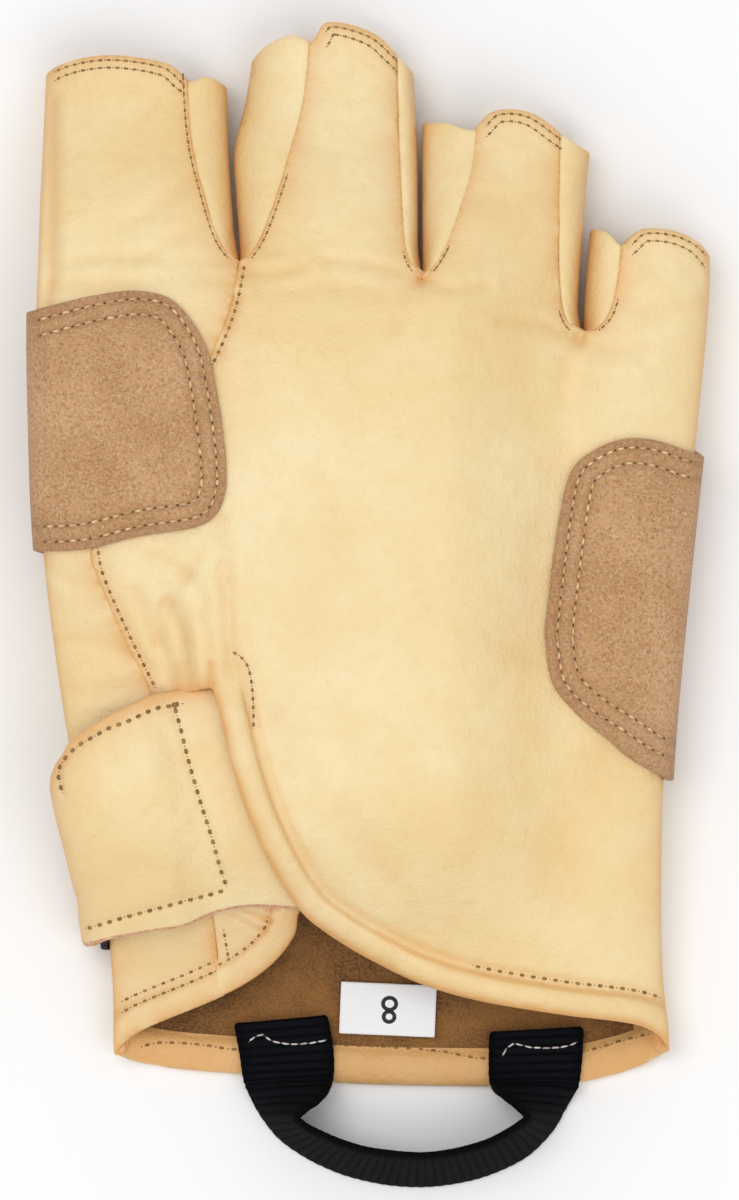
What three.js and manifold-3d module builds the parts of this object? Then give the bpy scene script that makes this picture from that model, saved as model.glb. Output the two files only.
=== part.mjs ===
// A half-finger leather glove for rope work, made for the right hand and lying palm down with its
// thumb folded under. Grain leather panels form a hollow hand with four open finger stalls and an open
// thumb stall. A suede guard wraps the palm and comes round both sides, a hook-and-loop strap closes the
// wrist slit, and a webbing loop is sewn inside the cuff. Units are millimetres, +Z is up, +Y runs from
// the cuff to the fingertips and +X from the index finger to the little finger. The origin is at the
// middle of the underside.
import * as THREE from "three";
import { mergeVertices } from "three/addons/utils/BufferGeometryUtils.js";
import Module from "manifold-3d";

const wasm = await Module();
wasm.setup();

// Driving sizes
const HAND_WIDTH = 112; // over the knuckles, flat
const GLOVE_LENGTH = 178.6; // cuff edge to the middle finger's hem
const HAND_HEIGHT = 19; // the hollow hand, palm to back, outside the leather
const FINGER_HEIGHT = 15.5; // a finger stall at its root
const LEATHER = 1.3; // grain leather
const SUEDE = 1.4; // palm guard
const GAP = 0.3; // clearance between sewn pieces
const TAPE_SEAT = 0.6; // clearance of the loop tape over the curve of the wrist
const BAND_GAP = 0.42; // clearance between the strap, its tapes and the hand
const HEM_FOLD = 0.5; // how much thicker a finger stall is at its hem
const HEM_DEPTH = 3; // how far the finger hem is turned in
const ROLL_WIDTH = 4.6; // turned edge of the wrist slit and cuff
const ROLL_HEIGHT = 3;
const ROLL_INSET = 0.46; // a turned edge's middle, in from the panel's edge, as a share of its width
const CUFF_HEM_WIDTH = 5.6; // flat hem inside the palm's cuff edge
const CUFF_HEM_HEIGHT = 2.4;
const STRAP_THICKNESS = 1.7;
const TAPE_THICKNESS = 1.1; // hook tape, and loop tape
const THUMB_WIDTH = 27;
const THUMB_HEIGHT = 9.5; // thumb stall, folded flat
const WEBBING_WIDTH = 15;
const WEBBING_THICKNESS = 1.6;
const LABEL_WIDTH = 16;
const LABEL_HEIGHT = 8.6;
const LABEL_THICKNESS = 0.5;

const FAR = 2 * GLOVE_LENGTH; // beyond every piece

// Section shape
const MID_SHARE = 0.45; // height of the widest line, as a share of the section's height
const HAND_SQUARENESS = 3.2; // 2 is an ellipse, more is squarer
const FINGER_SQUARENESS = 2.4;
const UNDERSIDE_FLATNESS = 1.3; // over 1, the underside's middle is a true flat
const INDEX_SEAM_SHARE = 0.5; // how high the index finger's outer seam lies, as a share of the upper half

// Facets
const HAND_SIDES = 28;
const HAND_STEPS = 13;
const FINGER_SIDES = 14;
const FINGER_STEPS = 6;
const SEAM_STEPS = 18;
const SEAM_LINE_STEPS = 40;
const HEM_STEPS = 16;
const PATCH_STEPS = 30;
const THUMB_SIDES = 16;
const SPLIT_STEPS = { along: 28, across: 14 };
const ROLL_SIDES = 8;
const BAND_STEPS = { across: 7, round: 20 };
const LOOP_STEPS = { across: 2, along: 44 };
// A turned edge and the panel edge that it follows have different steps, so that their facets cross cleanly
const EDGE_STEPS = { overlap: 36, underlap: 20, palm: 24 };
const ROLL_STEPS = { overlap: 31, underlap: 17, palm: 19 };
const EVENNESS = 0.08; // how far simplified faces may stray

const WRIST_SLOPE = 1.25; // the room that a thickness takes upright where the wrist slopes

// How far the underlap lies below the overlap, with the strap coming out between them
const SLIT_SINK = LEATHER + (STRAP_THICKNESS + 2 * BAND_GAP) * WRIST_SLOPE;

// The rest height of the leather: the guard lies under the palm, and the thumb stall under its index side
const GUARD_REST = SUEDE + GAP;
const THUMB_REST = THUMB_HEIGHT + 2 * GAP;

// Outline of the hand: along is a share of GLOVE_LENGTH, left and right of HAND_WIDTH, height of HAND_HEIGHT
const HAND_ROWS = [
  { along: -0.03, left: -0.383, right: 0.449, height: 0.64 },
  { along: 0.042, left: -0.386, right: 0.45, height: 0.66 },
  { along: 0.1, left: -0.388, right: 0.441, height: 0.74 },
  { along: 0.174, left: -0.4, right: 0.438, height: 0.86 },
  { along: 0.268, left: -0.434, right: 0.44, height: 0.95 },
  { along: 0.362, left: -0.461, right: 0.45, height: 1.0 },
  { along: 0.503, left: -0.489, right: 0.472, height: 1.0 },
  { along: 0.644, left: -0.498, right: 0.496, height: 0.93 },
  { along: 0.738, left: -0.4995, right: 0.51, height: 0.83 },
  { along: 0.8, left: -0.4965, right: 0.511, height: 0.76 },
];

// Outline of each finger stall, from inside the hand to past the hem; height is a share of FINGER_HEIGHT
const FINGER_ROWS = {
  index: [
    { along: 0.7, left: -0.499, right: -0.19, height: 1.0 },
    { along: 0.785, left: -0.497, right: -0.2, height: 1.04 },
    { along: 0.833, left: -0.495, right: -0.206, height: 1.02 },
    { along: 0.88, left: -0.492, right: -0.211, height: 0.97 },
    { along: 0.927, left: -0.489, right: -0.214, height: 0.92 },
    { along: 0.985, left: -0.485, right: -0.217, height: 0.88 },
  ],
  middle: [
    { along: 0.7, left: -0.21, right: 0.07, height: 1.0 },
    { along: 0.785, left: -0.198, right: 0.073, height: 1.04 },
    { along: 0.833, left: -0.202, right: 0.073, height: 1.02 },
    { along: 0.88, left: -0.205, right: 0.072, height: 0.97 },
    { along: 0.927, left: -0.188, right: 0.069, height: 0.92 },
    { along: 1.02, left: -0.166, right: 0.058, height: 0.86 },
  ],
  ring: [
    { along: 0.68, left: 0.08, right: 0.31, height: 1.0 },
    { along: 0.76, left: 0.078, right: 0.316, height: 1.02 },
    { along: 0.8, left: 0.077, right: 0.321, height: 1.0 },
    { along: 0.85, left: 0.077, right: 0.327, height: 0.95 },
    { along: 0.88, left: 0.077, right: 0.332, height: 0.91 },
    { along: 0.94, left: 0.08, right: 0.33, height: 0.87 },
  ],
  little: [
    { along: 0.62, left: 0.32, right: 0.494, height: 0.98 },
    { along: 0.69, left: 0.318, right: 0.5025, height: 0.98 },
    { along: 0.73, left: 0.32, right: 0.509, height: 0.95 },
    { along: 0.77, left: 0.325, right: 0.511, height: 0.9 },
    { along: 0.83, left: 0.334, right: 0.509, height: 0.84 },
  ],
};

// Plan curves: across is a share of HAND_WIDTH from the origin line, along of GLOVE_LENGTH from the cuff
const HEMS = {
  index: [
    [-0.51, 0.93],
    [-0.48, 0.957],
    [-0.4, 0.969],
    [-0.31, 0.962],
    [-0.272, 0.945],
    [-0.24, 0.949],
    [-0.2, 0.935],
  ],
  middle: [
    [-0.2, 0.945],
    [-0.165, 0.975],
    [-0.12, 0.988],
    [-0.085, 0.982],
    [-0.06, 1.0],
    [0.0, 0.991],
    [0.038, 0.972],
    [0.08, 0.945],
  ],
  ring: [
    [0.06, 0.905],
    [0.11, 0.906],
    [0.155, 0.899],
    [0.19, 0.917],
    [0.24, 0.915],
    [0.29, 0.894],
    [0.35, 0.872],
  ],
  little: [
    [0.31, 0.808],
    [0.35, 0.803],
    [0.378, 0.79],
    [0.41, 0.805],
    [0.46, 0.803],
    [0.5, 0.79],
    [0.53, 0.765],
  ],
};
const GUSSET_SEAMS = {
  index_middle: [
    [-0.274, 1.02],
    [-0.273, 0.95],
    [-0.266, 0.89],
    [-0.25, 0.845],
    [-0.224, 0.794],
    [-0.195, 0.774],
    [-0.17, 0.79],
    [-0.147, 0.825],
    [-0.12, 0.88],
    [-0.098, 0.94],
    [-0.084, 1.06],
  ],
  middle_ring: [
    [0.04, 1.06],
    [0.043, 0.93],
    [0.049, 0.84],
    [0.056, 0.785],
    [0.078, 0.762],
    [0.106, 0.782],
    [0.136, 0.83],
    [0.155, 0.88],
    [0.165, 0.98],
  ],
  ring_little: [
    [0.288, 0.96],
    [0.286, 0.86],
    [0.285, 0.77],
    [0.294, 0.722],
    [0.32, 0.707],
    [0.35, 0.718],
    [0.366, 0.743],
    [0.376, 0.79],
    [0.38, 0.86],
  ],
};
// The step in the hand's top edge between neighbouring fingers: across and along of each crotch
const CROTCHES = [
  { until: -0.06, along: 0.781 },
  { until: 0.2, along: 0.769 },
  { until: 0.6, along: 0.714 },
];
const SIDE_SEAM = [
  [-0.195, 0.774],
  [-0.209, 0.73],
  [-0.236, 0.687],
  [-0.29, 0.62],
  [-0.37, 0.545],
  [-0.415, 0.505],
  [-0.405, 0.475],
  [-0.365, 0.418],
  [-0.325, 0.367],
  [-0.28, 0.28],
  [-0.24, 0.17],
  [-0.226, 0.1],
  [-0.218, 0.03],
];
const OVERLAP_EDGE = [
  [-0.218, 0.404],
  [-0.232, 0.392],
  [-0.23, 0.365],
  [-0.195, 0.278],
  [-0.15, 0.21],
  [-0.105, 0.165],
  [-0.06, 0.141],
  [0.0, 0.118],
  [0.08, 0.094],
  [0.17, 0.078],
  [0.29, 0.066],
  [0.4, 0.06],
  [0.47, 0.057],
];
const UNDERLAP_EDGE = [
  [-0.06, 0.2],
  [-0.105, 0.165],
  [-0.115, 0.14],
  [-0.145, 0.115],
  [-0.19, 0.094],
  [-0.25, 0.077],
  [-0.31, 0.063],
  [-0.36, 0.05],
  [-0.41, 0.042],
];
const PALM_EDGE = [
  [-0.41, 0.042],
  [-0.375, 0.026],
  [-0.3, 0.016],
  [-0.195, 0.01],
  [-0.05, 0.002],
  [0.1, -0.001],
  [0.28, 0.0],
  [0.38, 0.012],
  [0.44, 0.028],
  [0.47, 0.046],
];
const INDEX_PATCH = [
  [-0.53, 0.72],
  [-0.46, 0.732],
  [-0.4, 0.741],
  [-0.34, 0.745],
  [-0.29, 0.735],
  [-0.25, 0.7],
  [-0.233, 0.66],
  [-0.219, 0.6],
  [-0.216, 0.565],
  [-0.228, 0.54],
  [-0.26, 0.526],
  [-0.34, 0.518],
  [-0.43, 0.505],
  [-0.53, 0.503],
];
const LITTLE_PATCH = [
  [0.53, 0.588],
  [0.49, 0.592],
  [0.43, 0.604],
  [0.38, 0.606],
  [0.335, 0.595],
  [0.303, 0.575],
  [0.288, 0.53],
  [0.272, 0.45],
  [0.268, 0.42],
  [0.28, 0.378],
  [0.32, 0.35],
  [0.38, 0.325],
  [0.43, 0.305],
  [0.53, 0.28],
];
const PALM_PATCH = [
  [-0.56, 0.72],
  [-0.25, 0.715],
  [0.05, 0.7],
  [0.28, 0.645],
  [0.56, 0.588],
  [0.56, 0.28],
  [0.4, 0.295],
  [0.2, 0.32],
  [0.05, 0.37],
  [-0.1, 0.44],
  [-0.28, 0.495],
  [-0.56, 0.503],
];

// Thumb stall under the palm, from its root inside the hand to past its hem; width and height are shares
// of THUMB_WIDTH and THUMB_HEIGHT, and rise is how far its middle is above its folded place, in heights
const THUMB_ROWS = [
  { across: -0.345, along: 0.335, width: 0.45, height: 0.4, rise: 0.74 },
  { across: -0.325, along: 0.348, width: 0.85, height: 0.85, rise: 0.72 },
  { across: -0.295, along: 0.368, width: 1.0, height: 1.0, rise: 0.6 },
  { across: -0.24, along: 0.405, width: 1.03, height: 1.0, rise: 0.22 },
  { across: -0.18, along: 0.447, width: 1.0, height: 1.0, rise: 0.0 },
  { across: -0.08, along: 0.52, width: 0.97, height: 1.0, rise: 0.0 },
  { across: 0.0, along: 0.578, width: 0.93, height: 1.0, rise: 0.0 },
];
const THUMB_SQUARENESS = 2.5;

// Where the lift over the thumb begins and ends, as shares of the width and the length
const LIFT = { acrossFull: 0.1, acrossNone: 0.3, cuff: 0.09, root: 0.27, tip: 0.68, fingers: 0.97 };

// Where the slit's top edge lies along the glove, and where its seam with the underlap is cut to length
const SLIT_TOP = 0.386;
const SEAM_END = { index: 0.09, tongue: 0.08 };
const SEAM_AT_CUFF = -0.226;

// The side seam: where the index finger's outer seam rises above the hand's, along and across
const SPLIT = { handEnd: 0.7, fingerStart: 0.78, indexFull: -0.42, indexNone: -0.38 };

// Where the underlap starts to sink under the overlap, along the glove and across it
const SINK = { none: 0.51, full: 0.39, acrossFull: -0.31, acrossNone: -0.24 };

// Wrist strap and its tapes: the turn round the wrist in degrees, from the +X side over the back, with
// the lower and upper edges there as shares of GLOVE_LENGTH. Past 180 they curl down round the side.
const STRAP_ROWS = [
  { turn: 97, low: 0.173, high: 0.372 },
  { turn: 108, low: 0.176, high: 0.372 },
  { turn: 123, low: 0.162, high: 0.364 },
  { turn: 144, low: 0.146, high: 0.345 },
  { turn: 165, low: 0.134, high: 0.318 },
  { turn: 180, low: 0.127, high: 0.298 },
  { turn: 193, low: 0.123, high: 0.284 },
];
const TAPE_ROWS = [
  { turn: 136, low: 0.162, high: 0.335 },
  { turn: 165, low: 0.132, high: 0.305 },
  { turn: 180, low: 0.122, high: 0.288 },
  { turn: 191, low: 0.12, high: 0.276 },
];

// The turns between which the strap rises from the underlap onto its tapes
const RISE_START = 115;
const RISE_END = TAPE_ROWS[0].turn - 6;

// Webbing loop: rows of its centreline, where lean turns the band from flat to on edge, in degrees
const LOOP_ROWS = [
  { across: -0.134, along: 0.058, lean: 0 },
  { across: -0.126, along: 0.03, lean: 0 },
  { across: -0.122, along: 0.006, lean: 0 },
  { across: -0.112, along: -0.015, lean: 16 },
  { across: -0.075, along: -0.045, lean: 52 },
  { across: -0.02, along: -0.064, lean: 65 },
  { across: 0.045, along: -0.078, lean: 67 },
  { across: 0.1, along: -0.081, lean: 67 },
  { across: 0.155, along: -0.073, lean: 65 },
  { across: 0.21, along: -0.053, lean: 52 },
  { across: 0.24, along: -0.02, lean: 16 },
  { across: 0.247, along: 0.004, lean: 0 },
  { across: 0.25, along: 0.028, lean: 0 },
  { across: 0.25, along: 0.048, lean: 0 },
];
const LABEL_PLACE = { across: 0.027, along: 0.069, turn: -2.5 };

const plan = ([across, along]) => new THREE.Vector2(across * HAND_WIDTH, along * GLOVE_LENGTH);

function smoothStep(from, to, value) {
  const share = Math.min(1, Math.max(0, (value - from) / (to - from)));
  return share * share * (3 - 2 * share);
}

// A smooth curve through one column of a table whose rows are ordered by key.
function column(rows, key, name) {
  const slope = (i) => {
    const a = rows[Math.max(0, i - 1)];
    const b = rows[Math.min(rows.length - 1, i + 1)];
    return (b[name] - a[name]) / (b[key] - a[key]);
  };
  return (at) => {
    let i = rows.findIndex((row) => row[key] > at) - 1;
    if (i < 0) i = at < rows[0][key] ? 0 : rows.length - 2;
    const [a, b] = [rows[i], rows[i + 1]];
    const step = b[key] - a[key];
    const t = Math.min(1, Math.max(0, (at - a[key]) / step));
    const [t2, t3] = [t * t, t * t * t];
    return (
      (2 * t3 - 3 * t2 + 1) * a[name] +
      (t3 - 2 * t2 + t) * step * slope(i) +
      (3 * t2 - 2 * t3) * b[name] +
      (t3 - t2) * step * slope(i + 1)
    );
  };
}

const splinePoints = (rows, steps) => new THREE.SplineCurve(rows.map(plan)).getPoints(steps);

// A plan line moved sideways, to the left of its direction where distance is over 0.
function movedAside(points, distance) {
  return points.map((point, i) => {
    const before = points[Math.max(0, i - 1)];
    const after = points[Math.min(points.length - 1, i + 1)];
    const along = after.clone().sub(before).normalize();
    return new THREE.Vector2(point.x - along.y * distance, point.y + along.x * distance);
  });
}

function solidFrom(geometry) {
  geometry.deleteAttribute("normal");
  geometry.deleteAttribute("uv");
  const merged = mergeVertices(geometry, 1e-4);
  return new wasm.Manifold(
    new wasm.Mesh({
      numProp: 3,
      vertProperties: merged.attributes.position.array,
      triVerts: new Uint32Array(merged.index.array),
    }),
  );
}

// A closed solid through rings of points, each ring going the same way round. Its ends are fans about
// their middles.
function loft(rings) {
  const sides = rings[0].length;
  const points = rings.flat();
  const faces = [];
  for (let i = 0; i + 1 < rings.length; i++) {
    for (let j = 0; j < sides; j++) {
      const a = i * sides + j;
      const b = i * sides + ((j + 1) % sides);
      faces.push([a, b, b + sides], [a, b + sides, a + sides]);
    }
  }
  const middleOf = (ring) =>
    ring.reduce((sum, p) => sum.add(p), new THREE.Vector3()).divideScalar(sides);
  const last = (rings.length - 1) * sides;
  points.push(middleOf(rings[0]), middleOf(rings[rings.length - 1]));
  for (let j = 0; j < sides; j++) {
    const next = (j + 1) % sides;
    faces.push([next, j, points.length - 2], [last + j, last + next, points.length - 1]);
  }
  return solidFrom(new THREE.BufferGeometry().setFromPoints(points).setIndex(faces.flat()));
}

// An upright column over a plan outline, higher and deeper than every piece.
function prism(points) {
  const shape = new THREE.Shape(points);
  const geometry = new THREE.ExtrudeGeometry(shape, { depth: 2 * FAR, bevelEnabled: false });
  return solidFrom(geometry.translate(0, 0, -FAR));
}

// A sheet of even thickness, its middle at a distance out from the surface at(u, v), with u and v from
// 0 to 1.
function sheet(at, across, along, thickness, distance = () => 0) {
  const nudge = 1e-3;
  const tops = [];
  const bottoms = [];
  for (let j = 0; j <= along; j++) {
    for (let i = 0; i <= across; i++) {
      const [u, v] = [i / across, j / along];
      const du = at(Math.min(1, u + nudge), v).sub(at(Math.max(0, u - nudge), v));
      const dv = at(u, Math.min(1, v + nudge)).sub(at(u, Math.max(0, v - nudge)));
      const out = du.cross(dv).normalize();
      const middle = distance(u, v);
      tops.push(at(u, v).addScaledVector(out, middle + thickness / 2));
      bottoms.push(at(u, v).addScaledVector(out, middle - thickness / 2));
    }
  }
  const row = across + 1;
  const under = tops.length;
  const faces = [];
  for (let j = 0; j < along; j++) {
    for (let i = 0; i < across; i++) {
      const a = j * row + i;
      faces.push([a, a + 1, a + row + 1], [a, a + row + 1, a + row]);
      const b = a + under;
      faces.push([b, b + row + 1, b + 1], [b, b + row, b + row + 1]);
    }
  }
  const rim = [];
  for (let i = 0; i < across; i++) rim.push(i);
  for (let j = 0; j < along; j++) rim.push(j * row + across);
  for (let i = across; i > 0; i--) rim.push(along * row + i);
  for (let j = along; j > 0; j--) rim.push(j * row);
  rim.forEach((a, k) => {
    const b = rim[(k + 1) % rim.length];
    faces.push([a, a + under, b + under], [a, b + under, b]);
  });
  return solidFrom(
    new THREE.BufferGeometry().setFromPoints([...tops, ...bottoms]).setIndex(faces.flat()),
  );
}

const largest = (solid) =>
  solid
    .decompose()
    .sort((a, b) => b.volume() - a.volume())[0]
    .simplify(EVENNESS);

// How high the leather is carried at a place: by the thumb folded under the index side, and by the guard.
function lift(x, y) {
  const [across, along] = [x / HAND_WIDTH, y / GLOVE_LENGTH];
  const side = 1 - smoothStep(LIFT.acrossFull, LIFT.acrossNone, across);
  const length = smoothStep(LIFT.cuff, LIFT.root, along) * (1 - smoothStep(LIFT.tip, LIFT.fingers, along));
  return THUMB_REST * side * length;
}

function restHeight(y) {
  const along = y / GLOVE_LENGTH;
  return GUARD_REST * smoothStep(0.1, 0.28, along) * (1 - smoothStep(0.75, 0.93, along));
}

// How far the back of the hand is sunk at the slit; the underlap is sunk over all its width.
function sink(x, y, underlap) {
  const [across, along] = [x / HAND_WIDTH, y / GLOVE_LENGTH];
  const length = 1 - smoothStep(SINK.full, SINK.none, along);
  const side = underlap ? 1 : 1 - smoothStep(SINK.acrossFull, SINK.acrossNone, across);
  return SLIT_SINK * length * side;
}

const handColumns = {
  left: column(HAND_ROWS, "along", "left"),
  right: column(HAND_ROWS, "along", "right"),
  height: column(HAND_ROWS, "along", "height"),
};

// The hand's section at y: its sides, its height and the height of its widest line above the leather's rest.
function handSection(y) {
  const along = y / GLOVE_LENGTH;
  const [left, right] = [handColumns.left(along) * HAND_WIDTH, handColumns.right(along) * HAND_WIDTH];
  return { left, right, height: handColumns.height(along) * HAND_HEIGHT };
}

// A point of a section's outline, at a turn from the +X side over the back, with the outline grown by offset.
function sectionPoint(section, y, turn, offset, squareness, underlap = false) {
  const [cos, sin] = [Math.cos(turn), Math.sin(turn)];
  const power = 2 / squareness;
  const reach = Math.sign(cos) * Math.abs(cos) ** power;
  const rise = Math.abs(sin) ** power;
  const x = (section.left + section.right) / 2 + ((section.right - section.left) / 2 + offset) * reach;
  const middle = restHeight(y) + section.height * MID_SHARE;
  const above = section.height * (1 - MID_SHARE) - sink(x, y, underlap) + offset;
  const below = section.height * MID_SHARE + offset;
  const z = sin >= 0 ? above * rise : -below * Math.min(1, UNDERSIDE_FLATNESS * rise);
  return new THREE.Vector3(x, y, middle + z + lift(x, y));
}

function sectionRing(section, y, offset, squareness, sides, underlap) {
  const ring = [];
  for (let i = 0; i < sides; i++) {
    const turn = (-2 * Math.PI * (i + 0.5)) / sides;
    ring.push(sectionPoint(section, y, turn, offset, squareness, underlap));
  }
  return ring;
}

// The hand without fingers, its top edge stepped down from crotch to crotch.
function handBody(offset, underlap) {
  const [first, last] = [HAND_ROWS[0].along, HAND_ROWS[HAND_ROWS.length - 1].along];
  const rings = [];
  for (let i = 0; i <= HAND_STEPS; i++) {
    const y = (first + ((last - first) * i) / HAND_STEPS) * GLOVE_LENGTH;
    rings.push(sectionRing(handSection(y), y, offset, HAND_SQUARENESS, HAND_SIDES, underlap));
  }
  const top = [new THREE.Vector2(-HAND_WIDTH, -GLOVE_LENGTH)];
  let from = -1;
  for (const { until, along } of CROTCHES) {
    const y = along * GLOVE_LENGTH + offset;
    top.push(new THREE.Vector2(from * HAND_WIDTH, y), new THREE.Vector2(until * HAND_WIDTH, y));
    from = until;
  }
  top.push(new THREE.Vector2(from * HAND_WIDTH, -GLOVE_LENGTH));
  return loft(rings).intersect(prism(top));
}

function fingerStall(name, offset) {
  const rows = FINGER_ROWS[name];
  const [left, right, height] = ["left", "right", "height"].map((c) => column(rows, "along", c));
  const [first, last] = [rows[0].along, rows[rows.length - 1].along];
  const hem = HEMS[name].map(plan);
  const hemLow = Math.min(...hem.map((p) => p.y)) - HEM_DEPTH;
  const rings = [];
  for (let i = 0; i <= FINGER_STEPS; i++) {
    const along = first + ((last - first) * i) / FINGER_STEPS;
    const y = along * GLOVE_LENGTH - (i ? 0 : offset);
    const section = {
      left: left(along) * HAND_WIDTH,
      right: right(along) * HAND_WIDTH,
      height: height(along) * FINGER_HEIGHT,
    };
    const fold = offset < 0 ? HEM_FOLD * smoothStep(hemLow - HEM_DEPTH, hemLow, y) : 0;
    rings.push(sectionRing(section, y, offset - fold, FINGER_SQUARENESS, FINGER_SIDES));
  }
  const stall = loft(rings);
  if (offset < 0) return stall;
  const low = first * GLOVE_LENGTH - 2 * FINGER_HEIGHT;
  const edge = splinePoints(HEMS[name], HEM_STEPS);
  const outline = [
    new THREE.Vector2(edge[0].x, low),
    ...edge,
    new THREE.Vector2(edge[edge.length - 1].x, low),
  ].reverse();
  return stall.intersect(prism(outline));
}

function wholeHand(offset, underlap = false) {
  return Object.keys(FINGER_ROWS).reduce(
    (hand, name) => hand.add(fingerStall(name, offset)),
    handBody(offset, underlap),
  );
}

// The surface that parts the back from the palm along both sides.
function splitHeight(x, y) {
  const { height } = handSection(y);
  const finger = smoothStep(SPLIT.handEnd, SPLIT.fingerStart, y / GLOVE_LENGTH);
  const index = finger * (1 - smoothStep(SPLIT.indexFull, SPLIT.indexNone, x / HAND_WIDTH));
  const share = MID_SHARE + (1 - MID_SHARE) * INDEX_SEAM_SHARE * index;
  const size = height + (FINGER_HEIGHT - height) * finger;
  return restHeight(y) + lift(x, y) + size * share;
}

// All that lies above the split, or below it, over the whole glove.
function halfSpace(above, gap) {
  const far = above ? FAR : -FAR;
  const half = above ? gap : -gap;
  const { along, across } = SPLIT_STEPS;
  const reach = HAND_WIDTH * 0.7;
  const rings = [];
  for (let i = 0; i <= along; i++) {
    const y = (-0.15 + (1.25 * i) / along) * GLOVE_LENGTH;
    const line = [];
    for (let j = 0; j <= across; j++) {
      const x = -reach + (2 * reach * j) / across;
      line.push(new THREE.Vector3(x, y, splitHeight(x, y) + half));
    }
    const [start, end] = [line[0], line[across]];
    line.push(new THREE.Vector3(end.x, y, far), new THREE.Vector3(start.x, y, far));
    rings.push(above ? line.reverse() : line);
  }
  return loft(rings);
}

// A soft round edge along a plan line, its middle raised over the surface by raised.
function edgeRoll(line, heightAt, width, height, raised) {
  const rings = line.map((point, i) => {
    const before = line[Math.max(0, i - 1)];
    const after = line[Math.min(line.length - 1, i + 1)];
    const along = after.clone().sub(before).normalize();
    const middle = heightAt(point.x, point.y) + raised;
    const ring = [];
    for (let j = 0; j < ROLL_SIDES; j++) {
      const turn = (2 * Math.PI * j) / ROLL_SIDES;
      const aside = (Math.cos(turn) * width) / 2;
      ring.push(
        new THREE.Vector3(
          point.x + along.y * aside,
          point.y - along.x * aside,
          middle - (Math.sin(turn) * height) / 2,
        ),
      );
    }
    return ring;
  });
  return loft(rings);
}

// The turn at which the hand's outline passes over a plan place, on its back.
function turnAt(section, x) {
  const half = (section.right - section.left) / 2;
  const reach = Math.min(1, Math.max(-1, (x - (section.left + section.right) / 2) / half));
  return Math.acos(Math.sign(reach) * Math.abs(reach) ** (HAND_SQUARENESS / 2));
}

function backPoint(x, y, offset, underlap) {
  const section = handSection(y);
  return sectionPoint(section, y, turnAt(section, x), offset, HAND_SQUARENESS, underlap);
}

const outer = wholeHand(0);
const inner = wholeHand(-LEATHER);
const upper = halfSpace(true, GAP / 2);
const lower = halfSpace(false, GAP / 2);

function gussetRegion(name, grow) {
  return prism(movedAside(splinePoints(GUSSET_SEAMS[name], SEAM_STEPS), -grow));
}
const gussetNames = Object.keys(GUSSET_SEAMS);
const handShell = outer.subtract(inner);
const panelShell = gussetNames.reduce(
  (shell, name) => shell.subtract(gussetRegion(name, GAP / 2)),
  handShell,
);

// Thumb stall, folded flat under the palm
function thumbStall(offset, start) {
  const path = THUMB_ROWS.map(({ across, along }) => plan([across, along]));
  const rings = THUMB_ROWS.map((row, i) => {
    const [before, after] = [path[Math.max(0, i - 1)], path[Math.min(path.length - 1, i + 1)]];
    const forward = after.clone().sub(before).normalize();
    const place = path[i].clone().addScaledVector(forward, i ? 0 : start);
    const [halfWidth, halfHeight] = [
      (THUMB_WIDTH * row.width) / 2 + offset,
      (THUMB_HEIGHT * row.height) / 2 + offset,
    ];
    const middle = THUMB_HEIGHT * (0.5 + row.rise);
    const ring = [];
    for (let j = 0; j < THUMB_SIDES; j++) {
      const turn = (2 * Math.PI * (j + 0.5)) / THUMB_SIDES;
      const power = 2 / THUMB_SQUARENESS;
      const reach = Math.sign(Math.cos(turn)) * Math.abs(Math.cos(turn)) ** power;
      const flat = Math.min(1, UNDERSIDE_FLATNESS * Math.abs(Math.sin(turn)) ** power);
      ring.push(
        new THREE.Vector3(
          place.x + forward.y * reach * halfWidth,
          place.y - forward.x * reach * halfWidth,
          middle - Math.sign(Math.sin(turn)) * flat * halfHeight,
        ),
      );
    }
    return ring;
  });
  return loft(rings);
}
// What is cut away past the thumb stall's hem
function thumbTip() {
  const [before, last] = THUMB_ROWS.slice(-2).map(({ across, along }) => plan([across, along]));
  const forward = last.clone().sub(before).normalize();
  const aside = new THREE.Vector2(-forward.y, forward.x).multiplyScalar(THUMB_WIDTH);
  const tip = last.clone().addScaledVector(forward, -2 * HEM_DEPTH);
  const far = tip.clone().addScaledVector(forward, THUMB_WIDTH);
  return prism([
    tip.clone().sub(aside),
    far.clone().sub(aside),
    far.clone().add(aside),
    tip.clone().add(aside),
  ]);
}
const thumbHollow = thumbStall(-LEATHER, LEATHER);
const thumb = largest(thumbStall(0, 0).subtract(thumbHollow).subtract(wholeHand(GAP)).subtract(thumbTip()));

// Palm, from side to side and out to the finger hems, with its flat hem inside the cuff
const palmRegion = prism([
  ...splinePoints(PALM_EDGE, EDGE_STEPS.palm),
  new THREE.Vector2(FAR, FAR),
  new THREE.Vector2(-FAR, FAR),
]);
const palmFloor = (x, y) => restHeight(y) + lift(x, y) + LEATHER;
const cuffHem = edgeRoll(
  movedAside(
    splinePoints(PALM_EDGE, ROLL_STEPS.palm).slice(2, -2),
    CUFF_HEM_WIDTH * ROLL_INSET,
  ),
  palmFloor,
  CUFF_HEM_WIDTH,
  CUFF_HEM_HEIGHT,
  CUFF_HEM_HEIGHT * (0.5 - ROLL_INSET),
);
const palm = largest(
  panelShell
    .intersect(lower)
    .intersect(palmRegion)
    .add(cuffHem.intersect(lower))
    .subtract(thumbHollow),
);

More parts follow.
